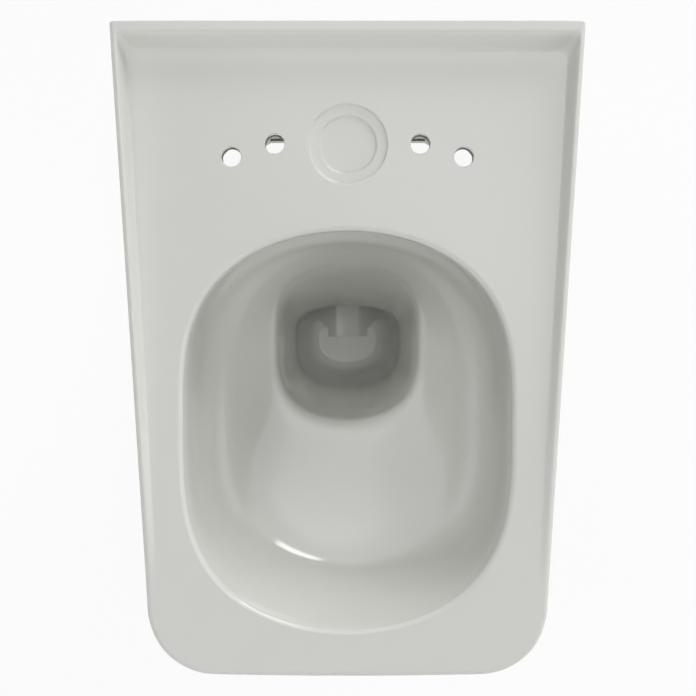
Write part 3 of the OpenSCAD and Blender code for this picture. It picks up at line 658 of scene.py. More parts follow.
def tube_ring(y, z, half_width, half_height, turn, points=72):
    """A ring of the trap at distance y from the wall, its plane turned by an angle."""
    tilt = math.radians(turn)
    return [Vector((half_width * math.cos(t), -y + half_height * math.sin(t) * math.sin(tilt),
                    z + half_height * math.sin(t) * math.cos(tilt)))
            for t in ring_angles(points)]


def trap_rings(bowl, fixing, grow=0.0):
    """Rings of the trap from the sump to the spigot."""
    rise = bowl.floor_back - 0.035
    low, out, end = fixing.trap_low, fixing.outlet, fixing.spigot_length
    # Distance from the wall, depth, share of the mouth's shape and turn of the ring's plane
    path = [
        (bowl.floor_back + 0.031, low + 0.001, 1, 2),
        (bowl.floor_back + 0.003, low, 1, -6),
        (bowl.floor_back - 0.017, low - 0.007, 0.7, -28),
        (rise, low - 0.026, 0.3, -52),
        (mix(rise, end, 0.2), mix(low, out, 0.5), 0, -57),
        (mix(rise, end, 0.4), mix(low, out, 0.78), 0, -45),
        (mix(rise, end, 0.63), mix(low, out, 0.95), 0, -20),
        (mix(rise, end, 0.83), out, 0, 0),
        (end, out, 0, 0),
    ]
    rows = [(y, -z, mix(fixing.trap, fixing.mouth[0], share) + grow,
             mix(fixing.trap, fixing.mouth[1], share) + grow, turn)
            for y, z, share, turn in path]
    if not grow:
        rows = spline(rows, 4)
    return [tube_ring(*row) for row in rows]


def channel_ring(y, half_width, half_height, z, square, points=64):
    """A ring of the flush channel at distance y from the wall."""
    return [Vector((squared(half_width, math.cos(t), square), -y,
                    z + squared(half_height, math.sin(t), square)))
            for t in ring_angles(points)]


def channel_rings(sizes, bowl, fixing, grow=0.0):
    """Rings of the flush channel from the slot in the bowl to the inlet socket."""
    slot_z = sizes.deck - fixing.slot_depth
    slot_y = bowl.back - bowl.undercut
    wide, tall = fixing.slot[0] + grow, fixing.slot[1] + grow
    radius = fixing.socket - 0.0035
    round_y, flat_y = fixing.socket_depth + 0.022, slot_y - 0.05
    outer = radius + grow * 1.25
    share = 0.6
    return [
        channel_ring(slot_y + (0 if grow else bowl.undercut + bowl.lip), wide, tall, slot_z, 5),
        channel_ring(flat_y, wide, tall, slot_z, 5),
        channel_ring(mix(round_y, flat_y, share), mix(radius, fixing.slot[0], share) + grow,
                     mix(radius, fixing.slot[1], share) + grow,
                     mix(fixing.inlet, slot_z, share), 3),
        channel_ring(round_y, outer, radius + grow, fixing.inlet, 2),
        channel_ring(0 if grow else fixing.socket_depth - 0.001, outer, outer, fixing.inlet, 2),
    ]


# Finishes: sets of shader nodes on object coordinates, in metres


def add_node(tree, kind, inputs=(), **settings):
    """A new node with its settings; inputs gives its sockets numbers, or outputs of other nodes."""
    node = tree.nodes.new("ShaderNode" + kind)
    for key, value in settings.items():
        setattr(node, key, value)
    for socket, value in dict(inputs).items():
        if isinstance(value, bpy.types.NodeSocket):
            tree.links.new(value, node.inputs[socket])
        else:
            node.inputs[socket].default_value = value
    return node


def calculate(tree, operation, *values):
    """Output of a node that calculates with numbers and the outputs of other nodes."""
    return add_node(tree, "Math", enumerate(values), operation=operation).outputs[0]


# Colour, roughness, metallic, mottling (scale, strength), relief (scale, strength, depth) and
# spread of the sheen; where given, how the pattern is stretched, the colour of the painted shade
# of its low parts with the heights at which it starts and is full, and the refraction of the glaze
FINISHES = {
    # Clear glossy glaze over off-white china, with the faint orange peel of a fired glaze
    "glazed china": dict(
        colour="china", sheen=(0.09, 0), grain=(35, 0.012), relief=(160, 0.06, 0.0004), spread=0.25,
        refraction=1.7),
    # The same glaze inside the bowl, with a greener painted shade towards the sump that stands in
    # for light bounced many times down there
    "glazed bowl": dict(
        colour="china", sheen=(0.09, 0), grain=(35, 0.012), relief=(160, 0.06, 0.0004), spread=0.25,
        deep=("painted_sump_shade", 0.06, -0.12), refraction=1.7),
    # Bare fired china of the back and of the inside, with a fine matt grain
    "unglazed china": dict(
        colour="bare_china", sheen=(0.8, 0), grain=(60, 0.05), relief=(1500, 0.35, 0.0003),
        spread=0.1),
    # Matt black moulded rubber with a greyish bloom
    "rubber": dict(
        colour="rubber", sheen=(0.62, 0), grain=(90, 0.35), relief=(2600, 0.3, 0.0001),
        spread=0.15),
    # Satin white plastic with the fine texture of its mould
    "moulded plastic": dict(
        colour="plastic", sheen=(0.4, 0), grain=(70, 0.025), relief=(3200, 0.18, 0.00008),
        spread=0.15),
    # Dull die-cast zinc with flow marks and a grainy skin
    "cast zinc": dict(
        colour="zinc", sheen=(0.48, 1), grain=(130, 0.14), relief=(1300, 0.4, 0.00018),
        spread=0.25),
    # Bright zinc-plated steel with fine turning marks
    "plated steel": dict(
        colour="steel", sheen=(0.27, 1), grain=(160, 0.06), relief=(900, 0.12, 0.00006), spread=0.3,
        stretch=(6, 1, 1)),
    # Dark oiled spring steel, blotchy from its heat treatment
    "spring steel": dict(
        colour="spring", sheen=(0.38, 1), grain=(320, 0.3), relief=(1500, 0.12, 0.00006),
        spread=0.3),
    # Machined brass with fine cutter marks along its length
    "machined brass": dict(
        colour="brass", sheen=(0.3, 1), grain=(170, 0.09), relief=(1100, 0.16, 0.00007), spread=0.3,
        stretch=(0.2, 1, 1)),
    # Glossy plastic in the colour of the glaze
    "cap plastic": dict(
        colour="china", sheen=(0.16, 0), grain=(60, 0.012), relief=(700, 0.05, 0.0001), spread=0.2),
}


def finish(name):
    """The finish of that name, made the first time that a piece asks for it."""
    if name not in bpy.data.materials:
        make_finish(name, bpy.context.scene.finish_colours, **FINISHES[name])
    return bpy.data.materials[name]


def make_finish(name, colours, colour, sheen, grain, relief, spread, stretch=(1, 1, 1), deep=None,
                refraction=None):
    """Make a material with a mottled colour, an uneven sheen and a fine relief, and, where deep is
    given, a painted shade towards its low parts.
    """
    material = bpy.data.materials.new(name)
    material.use_nodes = True
    tree = material.node_tree
    shader = tree.nodes["Principled BSDF"]
    roughness, shader.inputs["Metallic"].default_value = sheen
    if refraction:
        shader.inputs["IOR"].default_value = refraction
    place = add_node(tree, "Mapping", {
        "Scale": stretch, "Vector": add_node(tree, "TexCoord").outputs["Object"]}).outputs["Vector"]

    def noise(scale, detail):
        cloud = add_node(tree, "TexNoise", {"Scale": scale, "Detail": detail, "Vector": place})
        return cloud.outputs["Fac"]

    def shade(factor):
        return [min(1, c * factor) for c in getattr(colours, colour)] + [1]

    tint = add_node(tree, "Mix", {
        "A": shade(1 - grain[1]), "B": shade(1 + grain[1]), "Factor": noise(grain[0], 4)},
        data_type="RGBA").outputs["Result"]
    # Painted shade: below the given heights the colour blends into a greener tint, standing in for
    # light bounced many times in the sump
    if deep:
        shade_tint, start, end = deep
        height = add_node(tree, "SeparateXYZ", {0: place}).outputs["Z"]
        share = add_node(tree, "MapRange", {"From Min": start, "From Max": end, "Value": height})
        tint = add_node(tree, "Mix", {
            "A": tint, "B": list(getattr(colours, shade_tint)) + [1], "Factor": share.outputs["Result"]},
            data_type="RGBA").outputs["Result"]
    uneven = add_node(tree, "MapRange", {
        "To Min": roughness * (1 - spread), "To Max": roughness * (1 + spread),
        "Value": noise(grain[0] * 0.37, 3)})
    scale, strength, depth = relief
    bump = add_node(tree, "Bump", {
        "Strength": strength, "Distance": depth, "Height": noise(scale, 2)})
    tree.links.new(tint, shader.inputs["Base Color"])
    tree.links.new(uneven.outputs["Result"], shader.inputs["Roughness"])
    tree.links.new(bump.outputs["Normal"], shader.inputs["Normal"])


def mouth_rings(sizes):
    """Rings of the opening in the underside, with a small lip inside and a rounded edge."""
    lip, corner, turn = 0.0015, 0.012, 0.006
    sole = flat_ring(sizes, -sizes.underside, sizes.skirt + lip, sizes.back + lip, turn)
    half = [p for p in sole if -p.y <= sizes.opening - corner and p.x >= 0]
    edge_x, edge_y = half[-1].x, half[-1].y
    half += [Vector((edge_x - corner * (1 - math.cos(t)), edge_y - corner * math.sin(t), 0))
             for t in (math.radians(15 * i) for i in range(1, 7))]
    middle_y, half_depth = (edge_y - sizes.back) / 2, 0.09
    ring = half + [Vector((-p.x, p.y, 0)) for p in reversed(half) if p.x > 1e-6]
    rounding = [(-0.001, 0.0022), (0, 0.0012), (0.0012, 0), (sizes.skirt + 0.001, 0)]
    return [[Vector((p.x * (1 + out / edge_x),
                     middle_y + (p.y - middle_y) * (1 + out / half_depth), z - sizes.underside))
             for p in ring] for z, out in rounding]


def web_outline(sizes, side):
    """Outline from above of the web that stiffens a lower back corner."""
    outer_x, face = sizes.foot_width / 2, -sizes.back
    skirt_x = outer_x - sizes.skirt - 0.002
    edge = [(0.024, 0.006), (0.014, 0.009), (0.007, 0.017), (0.004, 0.031)]
    points = [(0.085, face + 0.001), (0.085, face), (0.093, face - 0.0045)]
    points += [(skirt_x - inwards, face - out) for inwards, out in edge]
    points += [(outer_x, face - 0.031), (outer_x, face + 0.001)]
    return [(side * x, y) for x, y in points]


def hollow_form(sizes, bowl, fixing, plain):
    """The space inside the skirt with all that stands in it taken out."""
    top, low = sizes.deck - sizes.deck_thickness, -sizes.underside + sizes.skirt
    levels, turn = 12, 0.004
    rings = [flat_ring(sizes, mix(top, low, i / levels), sizes.skirt, sizes.back, turn)
             for i in range(levels + 1)]
    hollow = loft("hollow", rings, plain)
    combine(hollow, loft("mouth", mouth_rings(sizes), plain), "UNION")
    combine(hollow, loft("bowl shell", bowl_rings(sizes, bowl, fixing, bowl.shell)))
    combine(hollow, loft("trap shell", trap_rings(bowl, fixing, bowl.shell)))
    combine(hollow, loft("channel shell", channel_rings(sizes, bowl, fixing, bowl.shell)))
    pad, tall, boss_length = 0.022, 0.03, 0.028
    boss_x = side_x(sizes, 0, fixing.screw) - boss_length
    boss = [(fixing.access + 0.007, 0), (fixing.access + 0.007, pad)]
    for side in SIDES:
        near, far = sorted((side * (fixing.stud - 0.024), side * sizes.width / 2))
        outline = [(near, 0), (far, 0), (far, -pad), (near, -pad)]
        combine(hollow, plate("pad", outline, -tall, tall, "Z"))
        drill(hollow, "boss", boss, (side * boss_x, -fixing.screw, 0), (side, 0, 0), 48)
        outline = web_outline(sizes, side)
        combine(hollow, plate("web", outline, -sizes.underside, -tall, "Z"))
    return hollow


def inside_form(sizes, bowl, fixing, plain):
    """The bowl, the trap and the flush channel as one form to cut out of the pan."""
    # The bowl's glaze carries a painted shade that gets greener towards the sump
    glaze = finish("glazed bowl")
    inside = loft("inside of the bowl", bowl_rings(sizes, bowl, fixing), glaze)
    combine(inside, loft("trap", trap_rings(bowl, fixing), glaze), "UNION")
    return combine(inside, loft("channel", channel_rings(sizes, bowl, fixing), plain), "UNION")


def cut_back(pan, fixing, glaze, plain):
    """Cut the room for the waste spigot, set the spigot in it, and cut its bore and the inlet."""
    outlet, inlet = (0, 0, -fixing.outlet), (0, 0, fixing.inlet)
    spigot, bore, socket = fixing.spigot, fixing.spigot_bore, fixing.socket
    root, points = 0.058, 96
    form = [(spigot - 0.0015, 0), (spigot, 0.0015), (spigot, 0.04), (spigot - 0.001, 0.0404),
            (spigot - 0.001, root)]
    room = [(spigot + 0.016, -0.001), (spigot + 0.015, 0.001), (spigot + 0.015, root)]
    drill(pan, "outlet room", room, outlet, FORWARD, points, plain)
    form = turned("spigot", form, (0, -0.004, -fixing.outlet), FORWARD, points, plain)
    combine(pan, form, "UNION")
    room = [(bore + 0.002, -0.001), (bore + 0.002, 0.004), (bore, 0.006), (bore, root + 0.001)]
    drill(pan, "outlet bore", room, outlet, FORWARD, points, glaze)
    room = [(socket + 0.0015, -0.001), (socket + 0.0012, 0.0), (socket, 0.0012),
            (socket, fixing.socket_depth)]
    drill(pan, "socket", room, inlet, FORWARD, points, plain)


def hole_profile(radius, low, high, edge):
    """Profile of a cutter for a hole that is rounded at both of its mouths."""
    arc = [(1 - math.sin(math.radians(a)), 1 - math.cos(math.radians(a)))
           for a in (4, 20, 36, 52, 68, 90)]
    upper = [(radius + edge * out, high - edge * down) for out, down in arc]
    lower = [(radius + edge * out, low + edge * up) for out, up in reversed(arc)]
    wide = radius + edge + 0.0006
    return [(wide, low - 0.002)] + lower + upper[::-1] + [(wide, high + 0.002)]


def cut_holes(pan, sizes, fixing, glaze, plain):
    """Cut the deck holes, the stud holes and the stepped access holes, side by side."""
    deck_hole = hole_profile(sizes.hole, sizes.deck - sizes.deck_thickness, sizes.deck, 0.0009)
    stud_hole = [(fixing.stud_hole + 0.0008, -0.001), (fixing.stud_hole, 0.0008),
                 (fixing.stud_hole, 0.024)]
    shoulder, seat = -0.0183, -0.003
    access_hole = [
        (fixing.bush, -0.03), (fixing.bush, shoulder), (fixing.access, shoulder),
        (fixing.access, seat), (fixing.cap + 0.0003, seat), (fixing.cap + 0.0003, 0.0),
        (fixing.cap + 0.0011, 0.0012)]
    face = side_x(sizes, 0, fixing.screw)
    for side in SIDES:
        for x, y in (sizes.outer_hole, sizes.inner_hole):
            drill(pan, "deck hole", deck_hole, (side * x, y, 0), UP, 64, glaze)
        drill(pan, "stud hole", stud_hole, (side * fixing.stud, 0, 0), FORWARD, 64, plain)
        drill(pan, "access hole", access_hole, (side * face, -fixing.screw, 0), (side, 0, 0), 64,
              plain)


def recess_profile(sizes):
    """Profile of a cutter for the round recess: two steps with hollow feet and rounded edges."""
    foot = [(-0.0014, 0), (-0.0007, 0.0002), (-0.0002, 0.0006), (0, 0.0011)]
    edge = [(0, -0.0009), (0.0003, -0.0004), (0.0008, -0.0001), (0.0012, 0)]
    step = sizes.deck - sizes.recess_depth
    base = step - sizes.step_depth
    profile = [(0.002, base)]
    for radius, low, high in ((sizes.recess_step, base, step), (sizes.recess, step, sizes.deck)):
        profile += [(radius + out, low + up) for out, up in foot]
        profile += [(radius + out, high + up) for out, up in edge]
    radius, high = profile.pop()
    return profile + [(radius, high + 0.00002), (radius + 0.0002, high + 0.002)]


class PAN_OT_china(bpy.types.Operator):
    """Model the glazed china of the pan, with its bowl, trap, hollow and holes"""

    bl_idname = "toilet_pan.china"
    bl_label = "China"
    bl_options = {"REGISTER", "UNDO"}

    def execute(self, context):
        scene = context.scene
        sizes, bowl, fixing = scene.pan_sizes, scene.bowl_sizes, scene.fixing_sizes
        glaze, plain = finish("glazed china"), finish("unglazed china")
        pan = loft("pan_china", outer_rings(sizes), glaze)
        combine(pan, hollow_form(sizes, bowl, fixing, plain))
        combine(pan, inside_form(sizes, bowl, fixing, plain))
        cut_back(pan, fixing, glaze, plain)
        cut_holes(pan, sizes, fixing, glaze, plain)
        middle = (0, sizes.inner_hole[1], 0)
        drill(pan, "recess", recess_profile(sizes), middle, UP, 128, glaze)
        smooth(pan)
        bare = list(pan.data.materials).index(plain)
        for face in pan.data.polygons:
            if face.normal.y > 0.99 and face.center.y > -0.0002:
                face.material_index = bare
        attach(pan, "pan")
        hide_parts("pan")
        return {"FINISHED"}


# Fittings: seals, flush distributor and the hidden wall fixing


def rounded(corners, steps=4):
    """Closed outline through corners of (a, b, rounding, fluting), with each corner rounded."""
    straight = 1.55
    outline = []
    for k, corner in enumerate(corners):
        here = Vector(corner[:2])
        before = Vector(corners[k - 1][:2]) - here
        after = Vector(corners[(k + 1) % len(corners)][:2]) - here
        rounding, flute = (corner[2:] + (0, 0))[:2]
        half = before.angle(after) / 2
        if not rounding or half > straight:
            outline.append((here.x, here.y, flute))
            continue
        reach = min(rounding / math.tan(half), before.length * 0.48, after.length * 0.48)
        start, end = here + before.normalized() * reach, here + after.normalized() * reach
        for i in range(steps + 1):
            t = i / steps
            point = start * (1 - t) ** 2 + here * 2 * t * (1 - t) + end * t * t
            outline.append((point.x, point.y, flute))
    return outline


def fluted_circle(radius, along, depth, flutes, centre, axis, points):
    """A ring with shallow flutes of the given depth along the axis."""
    middle = Vector(centre) + Vector(axis) * along
    ring = circle(radius, along, centre, axis, points)
    if not depth:
        return ring
    waves = [max(0.0, math.cos(2 * math.pi * flutes * i / points)) ** 1.5 for i in range(points)]
    return [middle + (p - middle) * (1 - depth / radius * wave) for p, wave in zip(ring, waves)]


def turned_ring(name, corners, centre, axis, points, material, flutes=12, steps=4):
    """A turned ring with a bore, its section drawn through corners of (radius, distance along)."""
    section = rounded(corners, steps)
    rings = [fluted_circle(radius, along, depth, flutes, centre, axis, points)
             for radius, along, depth in section + section[:1]]
    piece = loft(name, rings, material)
    bpy.ops.object.mode_set(mode="EDIT")
    mesh = bmesh.from_edit_mesh(piece.data)
    for face in mesh.faces:
        face.select_set(len(face.verts) > 4)
    bmesh.update_edit_mesh(piece.data)
    bpy.ops.mesh.delete(type="ONLY_FACE")
    bpy.ops.mesh.select_all(action="SELECT")
    bpy.ops.mesh.remove_doubles(threshold=0.000002)
    face_outwards(piece)
    bpy.ops.object.mode_set(mode="OBJECT")
    return piece


def round_edges(piece, width):
    """Round every sharp edge of a piece."""
    modifier = piece.modifiers.new("edges", "BEVEL")
    modifier.width = width
    modifier.segments = 3
    modifier.limit_method = "ANGLE"
    modifier.angle_limit = math.radians(30)
    pick(piece)
    bpy.ops.object.modifier_apply(modifier="edges")
    return piece


def thread_rings(radius, depth, pitch, start, end, centre, axis, points, tip=0.0):
    """Rings of a right-handed thread; a negative depth makes the tap for the thread of a nut."""
    turn = Vector(UP).rotation_difference(Vector(axis)).to_matrix()
    steps_a_turn = 10
    count = round((end - start) / pitch * steps_a_turn)
    rings = []
    for k in range(count + 1):
        along = mix(start, end, k / count)
        fade = 1.0 if depth < 0 else clamp((end - along) / pitch)
        ring = []
        for i in range(points):
            wave = clamp(abs(2 * ((along / pitch - i / points) % 1) - 1) * 1.5 - 0.25)
            reach = radius - depth * wave * fade
            if tip:
                reach = min(reach, radius - tip + along - start)
            t = 2 * math.pi * i / points
            point = Vector((reach * math.cos(t), reach * math.sin(t), along))
            ring.append(Vector(centre) + turn @ point)
        rings.append(ring)
    return rings


def cut_thread(piece, bore, depth, pitch, span, centre, axis, sink, points):
    """Cut a threaded bore along the span, and a countersink of (radius, depth) at each mouth."""
    material, (start, end) = piece.data.materials[0], span
    rings = thread_rings(bore, -depth, pitch, start - 0.002, end + 0.002, centre, axis, points)
    combine(piece, loft("tap", rings, material))
    cone = [(bore + sink[0], -0.0005), (bore - 0.0002, sink[1])]
    for level, way in ((start, 1), (end, -1)):
        mouth = Vector(centre) + Vector(axis) * level
        drill(piece, "countersink", cone, mouth, Vector(axis) * way, points, material)


def hexagon(middle, reach):
    """Outline of a hexagon with a corner at each end of the first axis."""
    return [(middle + reach * math.cos(t), reach * math.sin(t))
            for t in (math.radians(60 * i) for i in range(6))]


def bore_profile(radius, start, end, chamfer):
    """Profile of a cutter for a bore with a chamfer at both of its mouths."""
    over = 0.0005
    wide = radius + chamfer + over
    return [(wide, start - over), (radius, start + chamfer), (radius, end - chamfer),
            (wide, end + over)]


def settle(piece, node):
    """Shade a finished fitting, let it ride on its body and hide the CAD node whose place it takes.
    """
    smooth(piece)
    record = frame["record"]
    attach(piece, next(
        body for body, nodes in record["behaviour"]["bodies"].items() if node in nodes))
    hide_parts(node)


def on_both_sides(piece, kind, mirror=False):
    """Copy the right piece to the left side, turned half round or mirrored, and settle both."""
    pick(piece)
    bpy.ops.object.duplicate()
    copy = bpy.context.object
    copy.name = "left_" + piece.name.removeprefix("right_")
    bpy.ops.object.mode_set(mode="EDIT")
    bpy.ops.mesh.select_all(action="SELECT")
    if mirror:
        bpy.ops.transform.resize(value=(-1, 1, 1), center_override=(0, 0, 0))
        face_outwards(copy)
    else:
        bpy.ops.transform.rotate(value=math.pi, orient_axis="Y", center_override=(0, 0, 0))
    bpy.ops.object.mode_set(mode="OBJECT")
    settle(piece, "right_" + kind)
    settle(copy, "left_" + kind)


class PAN_OT_seals(bpy.types.Operator):
    """Model the ribbed rubber rings of the flush inlet and of the waste spigot"""

    bl_idname = "toilet_pan.seals"
    bl_label = "Seals"
    bl_options = {"REGISTER", "UNDO"}

    def execute(self, context):
        rubber = finish("rubber")
        low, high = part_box("inlet_seal")
        outer, bore = (high.z - low.z) / 2, context.scene.fitting_sizes.flush_pipe
        groove, lip, deep = outer - 0.001, bore + 0.0006, high.y - low.y
        corners = [(outer - 0.0004, 0, 0.0004), (outer, 0.0012, 0.0006), (outer, 0.0037, 0.0008),
                   (groove, 0.0052, 0.0006), (groove, 0.0074, 0.0006), (outer, 0.0092, 0.0012),
                   (outer, 0.0139, 0.0012), (groove, 0.0157, 0.0006), (groove, 0.0186, 0.0006),
                   (outer, 0.0204, 0.0012), (outer, deep, 0.0008), (bore + 0.0007, deep, 0.0004),
                   (bore, deep - 0.001, 0.0003)]
        for start in (0.0205, 0.0145, 0.0085):
            corners += [(bore, start + 0.0014, 0.0003), (lip, start + 0.0006, 0.0003),
                        (lip, start - 0.0018, 0.0003), (bore, start - 0.0026, 0.0003)]
        corners += [(bore, 0.002, 0.0005), (bore + 0.0015, 0, 0.0004)]
        centre = (0, high.y, (low.z + high.z) / 2)
        seal = turned_ring("inlet_seal_ring", corners, centre, FORWARD, 96, rubber, steps=3)
        settle(seal, "inlet_seal")

        low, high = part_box("outlet_seal")
        outer, inner = (high.z - low.z) / 2, context.scene.fixing_sizes.spigot - 0.001
        groove, deep = outer - 0.0008, high.y - low.y
        corners = [(inner, 0, 0.0003), (outer - 0.002, 0, 0.0006), (outer, 0.004, 0.0008)]
        for start in (0.0054, 0.0094):
            corners += [(outer, start, 0.0004), (groove, start + 0.0009, 0.0004),
                        (groove, start + 0.0018, 0.0004), (outer, start + 0.0027, 0.0004)]
        corners += [(outer, deep, 0.0005), (inner, deep, 0.0003)]
        centre = (0, high.y, (low.z + high.z) / 2)
        seal = turned_ring("outlet_seal_ring", corners, centre, FORWARD, 128, rubber, steps=3)
        settle(seal, "outlet_seal")
        return {"FINISHED"}


class PAN_OT_distributor(bpy.types.Operator):
    """Model the flush distributor with its three jets, behind the slot in the bowl"""

    bl_idname = "toilet_pan.distributor"
    bl_label = "Flush distributor"
    bl_options = {"REGISTER", "UNDO"}

    def execute(self, context):
        plastic = finish("moulded plastic")
        wall = context.scene.fitting_sizes.distributor_wall
        low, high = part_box("flush_distributor")
        half, tall, middle = (high.x - low.x) / 2, (high.z - low.z) / 2, (high.z + low.z) / 2
        front, back = -low.y, -high.y
        edge, groove, square = 0.0012, 0.0005, 5

        def ring(y, inwards):
            return channel_ring(y, half - inwards, tall - inwards, middle, square)

        rings = [ring(back, 0.0004), ring(back + 0.0004, 0)]
        for start in (back + 0.008, back + 0.016):
            rings += [ring(start, 0), ring(start + 0.0004, groove),
                      ring(start + 0.002, groove), ring(start + 0.0024, 0)]
        for i in range(6):
            phi = math.radians(18 * i)
            rings.append(ring(front - edge * (1 - math.sin(phi)), edge * (1 - math.cos(phi))))
        body = loft("flush_nozzle", rings, plastic)
        rings = [ring(front - wall, wall + 0.0008), ring(front - wall - 0.0008, wall),
                 ring(back - 0.001, wall - 0.0003)]
        combine(body, loft("room", rings))

        inner = tall - wall
        jet = inner * 0.5
        jets = [(-half * 0.3, half * 0.3, middle - inner + 0.0006, middle - inner + jet)]
        for side in SIDES:
            near, far = sorted((side * half * 0.42, side * half * 0.88))
            jets.append((near, far, middle - jet / 2, middle + jet / 2))
        flare = [(0.0002, 0.0007), (-0.0004, 0.0003), (-0.001, 0.0), (-wall - 0.002, 0.0)]
        for left, right, bottom, top in jets:
            rings = []
            for distance, out in flare:
                outline = rounded([
                    (left - out, bottom - out, 0.001), (right + out, bottom - out, 0.001),
                    (right + out, top + out, 0.001), (left - out, top + out, 0.001)])
                rings.append([Vector((x, -front - distance, z)) for x, z, _ in outline])
            combine(body, loft("jet", rings))

        near, far, thick, over = -front + wall * 0.6, -front + 0.016, 0.0006, 0.0004
        for x in (-half * 0.36, half * 0.36):
            vane = rounded([(x - thick, near, 0.0002), (x + thick, near, 0.0002),
                            (x * 0.8 + thick, far, 0.0005), (x * 0.8 - thick, far, 0.0005)])
            vane = plate("vane", vane, middle - inner - over, middle + inner + over, "Z", plastic)
            combine(body, vane, "UNION")
        settle(body, "flush_distributor")
        return {"FINISHED"}


class PAN_OT_sleeves(bpy.types.Operator):
    """Model the fluted sleeves that centre the wall studs"""

    bl_idname = "toilet_pan.sleeves"
    bl_label = "Stud sleeves"
    bl_options = {"REGISTER", "UNDO"}

    def execute(self, context):
        fittings = context.scene.fitting_sizes
        low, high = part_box("right_stud_sleeve")
        bore, radius, collar = fittings.stud_bore, fittings.sleeve, (high.z - low.z) / 2
        end, step, flute = high.y - low.y, high.y - low.y - fittings.collar, 0.0007
        seat = end - 0.0004
        corners = [
            (bore + 0.0008, 0), (radius - 0.0008, 0, 0.0003), (radius, 0.0012, 0.0004),
            (radius, 0.003), (radius, 0.0042, 0, flute), (radius, step - 0.0035, 0, flute),
            (radius, step - 0.0023), (radius, step), (collar - 0.0003, step, 0.0002),
            (collar, step + 0.0004, 0.0002), (collar, end, 0.0005), (bore + 0.0025, end, 0.0002),
            (bore + 0.0022, seat, 0.0002), (bore + 0.0008, seat), (bore, end - 0.0012),
            (bore, 0.0008)]
        centre = ((low.x + high.x) / 2, high.y, 0)
        plastic = finish("moulded plastic")
        sleeve = turned_ring("right_sleeve", corners, centre, FORWARD, 96, plastic)
        on_both_sides(sleeve, "stud_sleeve")
        return {"FINISHED"}


class PAN_OT_blocks(bpy.types.Operator):
    """Model the cast blocks on the wall studs, each with its sloping arm"""

    bl_idname = "toilet_pan.blocks"
    bl_label = "Fixing blocks"
    bl_options = {"REGISTER", "UNDO"}

    def execute(self, context):
        fittings = context.scene.fitting_sizes
        zinc = finish("cast zinc")
        low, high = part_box("right_fixing_block")
        hub, root = low.x + fittings.hub, low.y + fittings.arm_root
        slope = fittings.arm_slope
        outline = [
            (low.x + 0.002, high.y), (hub, high.y), (hub, root), (high.x, root + slope),
            (high.x, low.y + 0.003), (high.x - 0.003, low.y), (low.x + 0.002, low.y),
            (low.x, low.y + 0.002), (low.x, high.y - 0.002)]
        block = round_edges(plate("right_block", outline, low.z, high.z, "Z", zinc), 0.0008)

        depth, draft, wall, rounding = 0.0035, 0.0006, 0.003, 0.0018
        levels = [(-0.001, draft + 0.0005), (0, draft + 0.0002), (0.0006, draft * 0.7),
                  (depth - 0.0006, 0.0), (depth, -0.0006)]
        left, right, bottom = hub + 0.004, high.x - 0.0045, low.y + wall
        top_left, top_right = root + slope * 0.14 - wall, root + slope * 0.84 - wall
        mark = [(0.0026, -0.001), (0.0026, 0.0003), (0.0022, 0.00035)]
        for face, inwards in ((low.z, 1), (high.z, -1)):
            rings = []
            for level, grow in levels:
                pocket = rounded([
                    (left - grow, bottom - grow, rounding), (right + grow, bottom - grow, rounding),
                    (right + grow, top_right + grow, rounding),
                    (left - grow, top_left + grow, rounding)])
                rings.append([Vector((x, y, face + inwards * level)) for x, y, _ in pocket])
            combine(block, loft("pocket", rings, zinc))
            middle = (hub - 0.006, low.y + 0.007, face)
            drill(block, "pin mark", mark, middle, (0, 0, inwards), 32, zinc)
        stud = (low.x + fittings.hub / 2, 0, 0)
        bore = bore_profile(fittings.stud_bore, -high.y, -low.y, 0.001)
        drill(block, "stud bore", bore, stud, FORWARD, 48, zinc)
        on_both_sides(block, "fixing_block")
        return {"FINISHED"}


class PAN_OT_nuts(bpy.types.Operator):
    """Model the threaded and chamfered nuts on the wall studs"""

    bl_idname = "toilet_pan.nuts"
    bl_label = "Stud nuts"
    bl_options = {"REGISTER", "UNDO"}

    def execute(self, context):
        fittings = context.scene.fitting_sizes
        steel = finish("plated steel")
        low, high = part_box("right_stud_nut")
        corner, flat = (high.x - low.x) / 2, (high.z - low.z) / 2
        middle, start, end = (low.x + high.x) / 2, -high.y, -low.y
        over = 0.0002
        nut = plate("right_nut", hexagon(middle, corner), low.y - over, high.y + over, "Y", steel)
        cone = [(flat - 0.0006, start), (flat - 0.0006, start + 0.0004),
                (flat - 0.0001, start + 0.0005), (corner + 0.0003, start + 0.0015),
                (corner + 0.0003, end - 0.0011), (flat - 0.0001, end - 0.0001),
                (flat - 0.0004, end)]
        centre = (middle, 0, 0)
        combine(nut, turned("chamfer", cone, centre, FORWARD, 96, steel), "INTERSECT")
        cut_thread(nut, fittings.stud_bore, depth=0.0007, pitch=fittings.stud_pitch,
                   span=(start, end), centre=centre, axis=FORWARD, sink=(0.0014, 0.0011), points=48)
        on_both_sides(nut, "stud_nut")
        return {"FINISHED"}


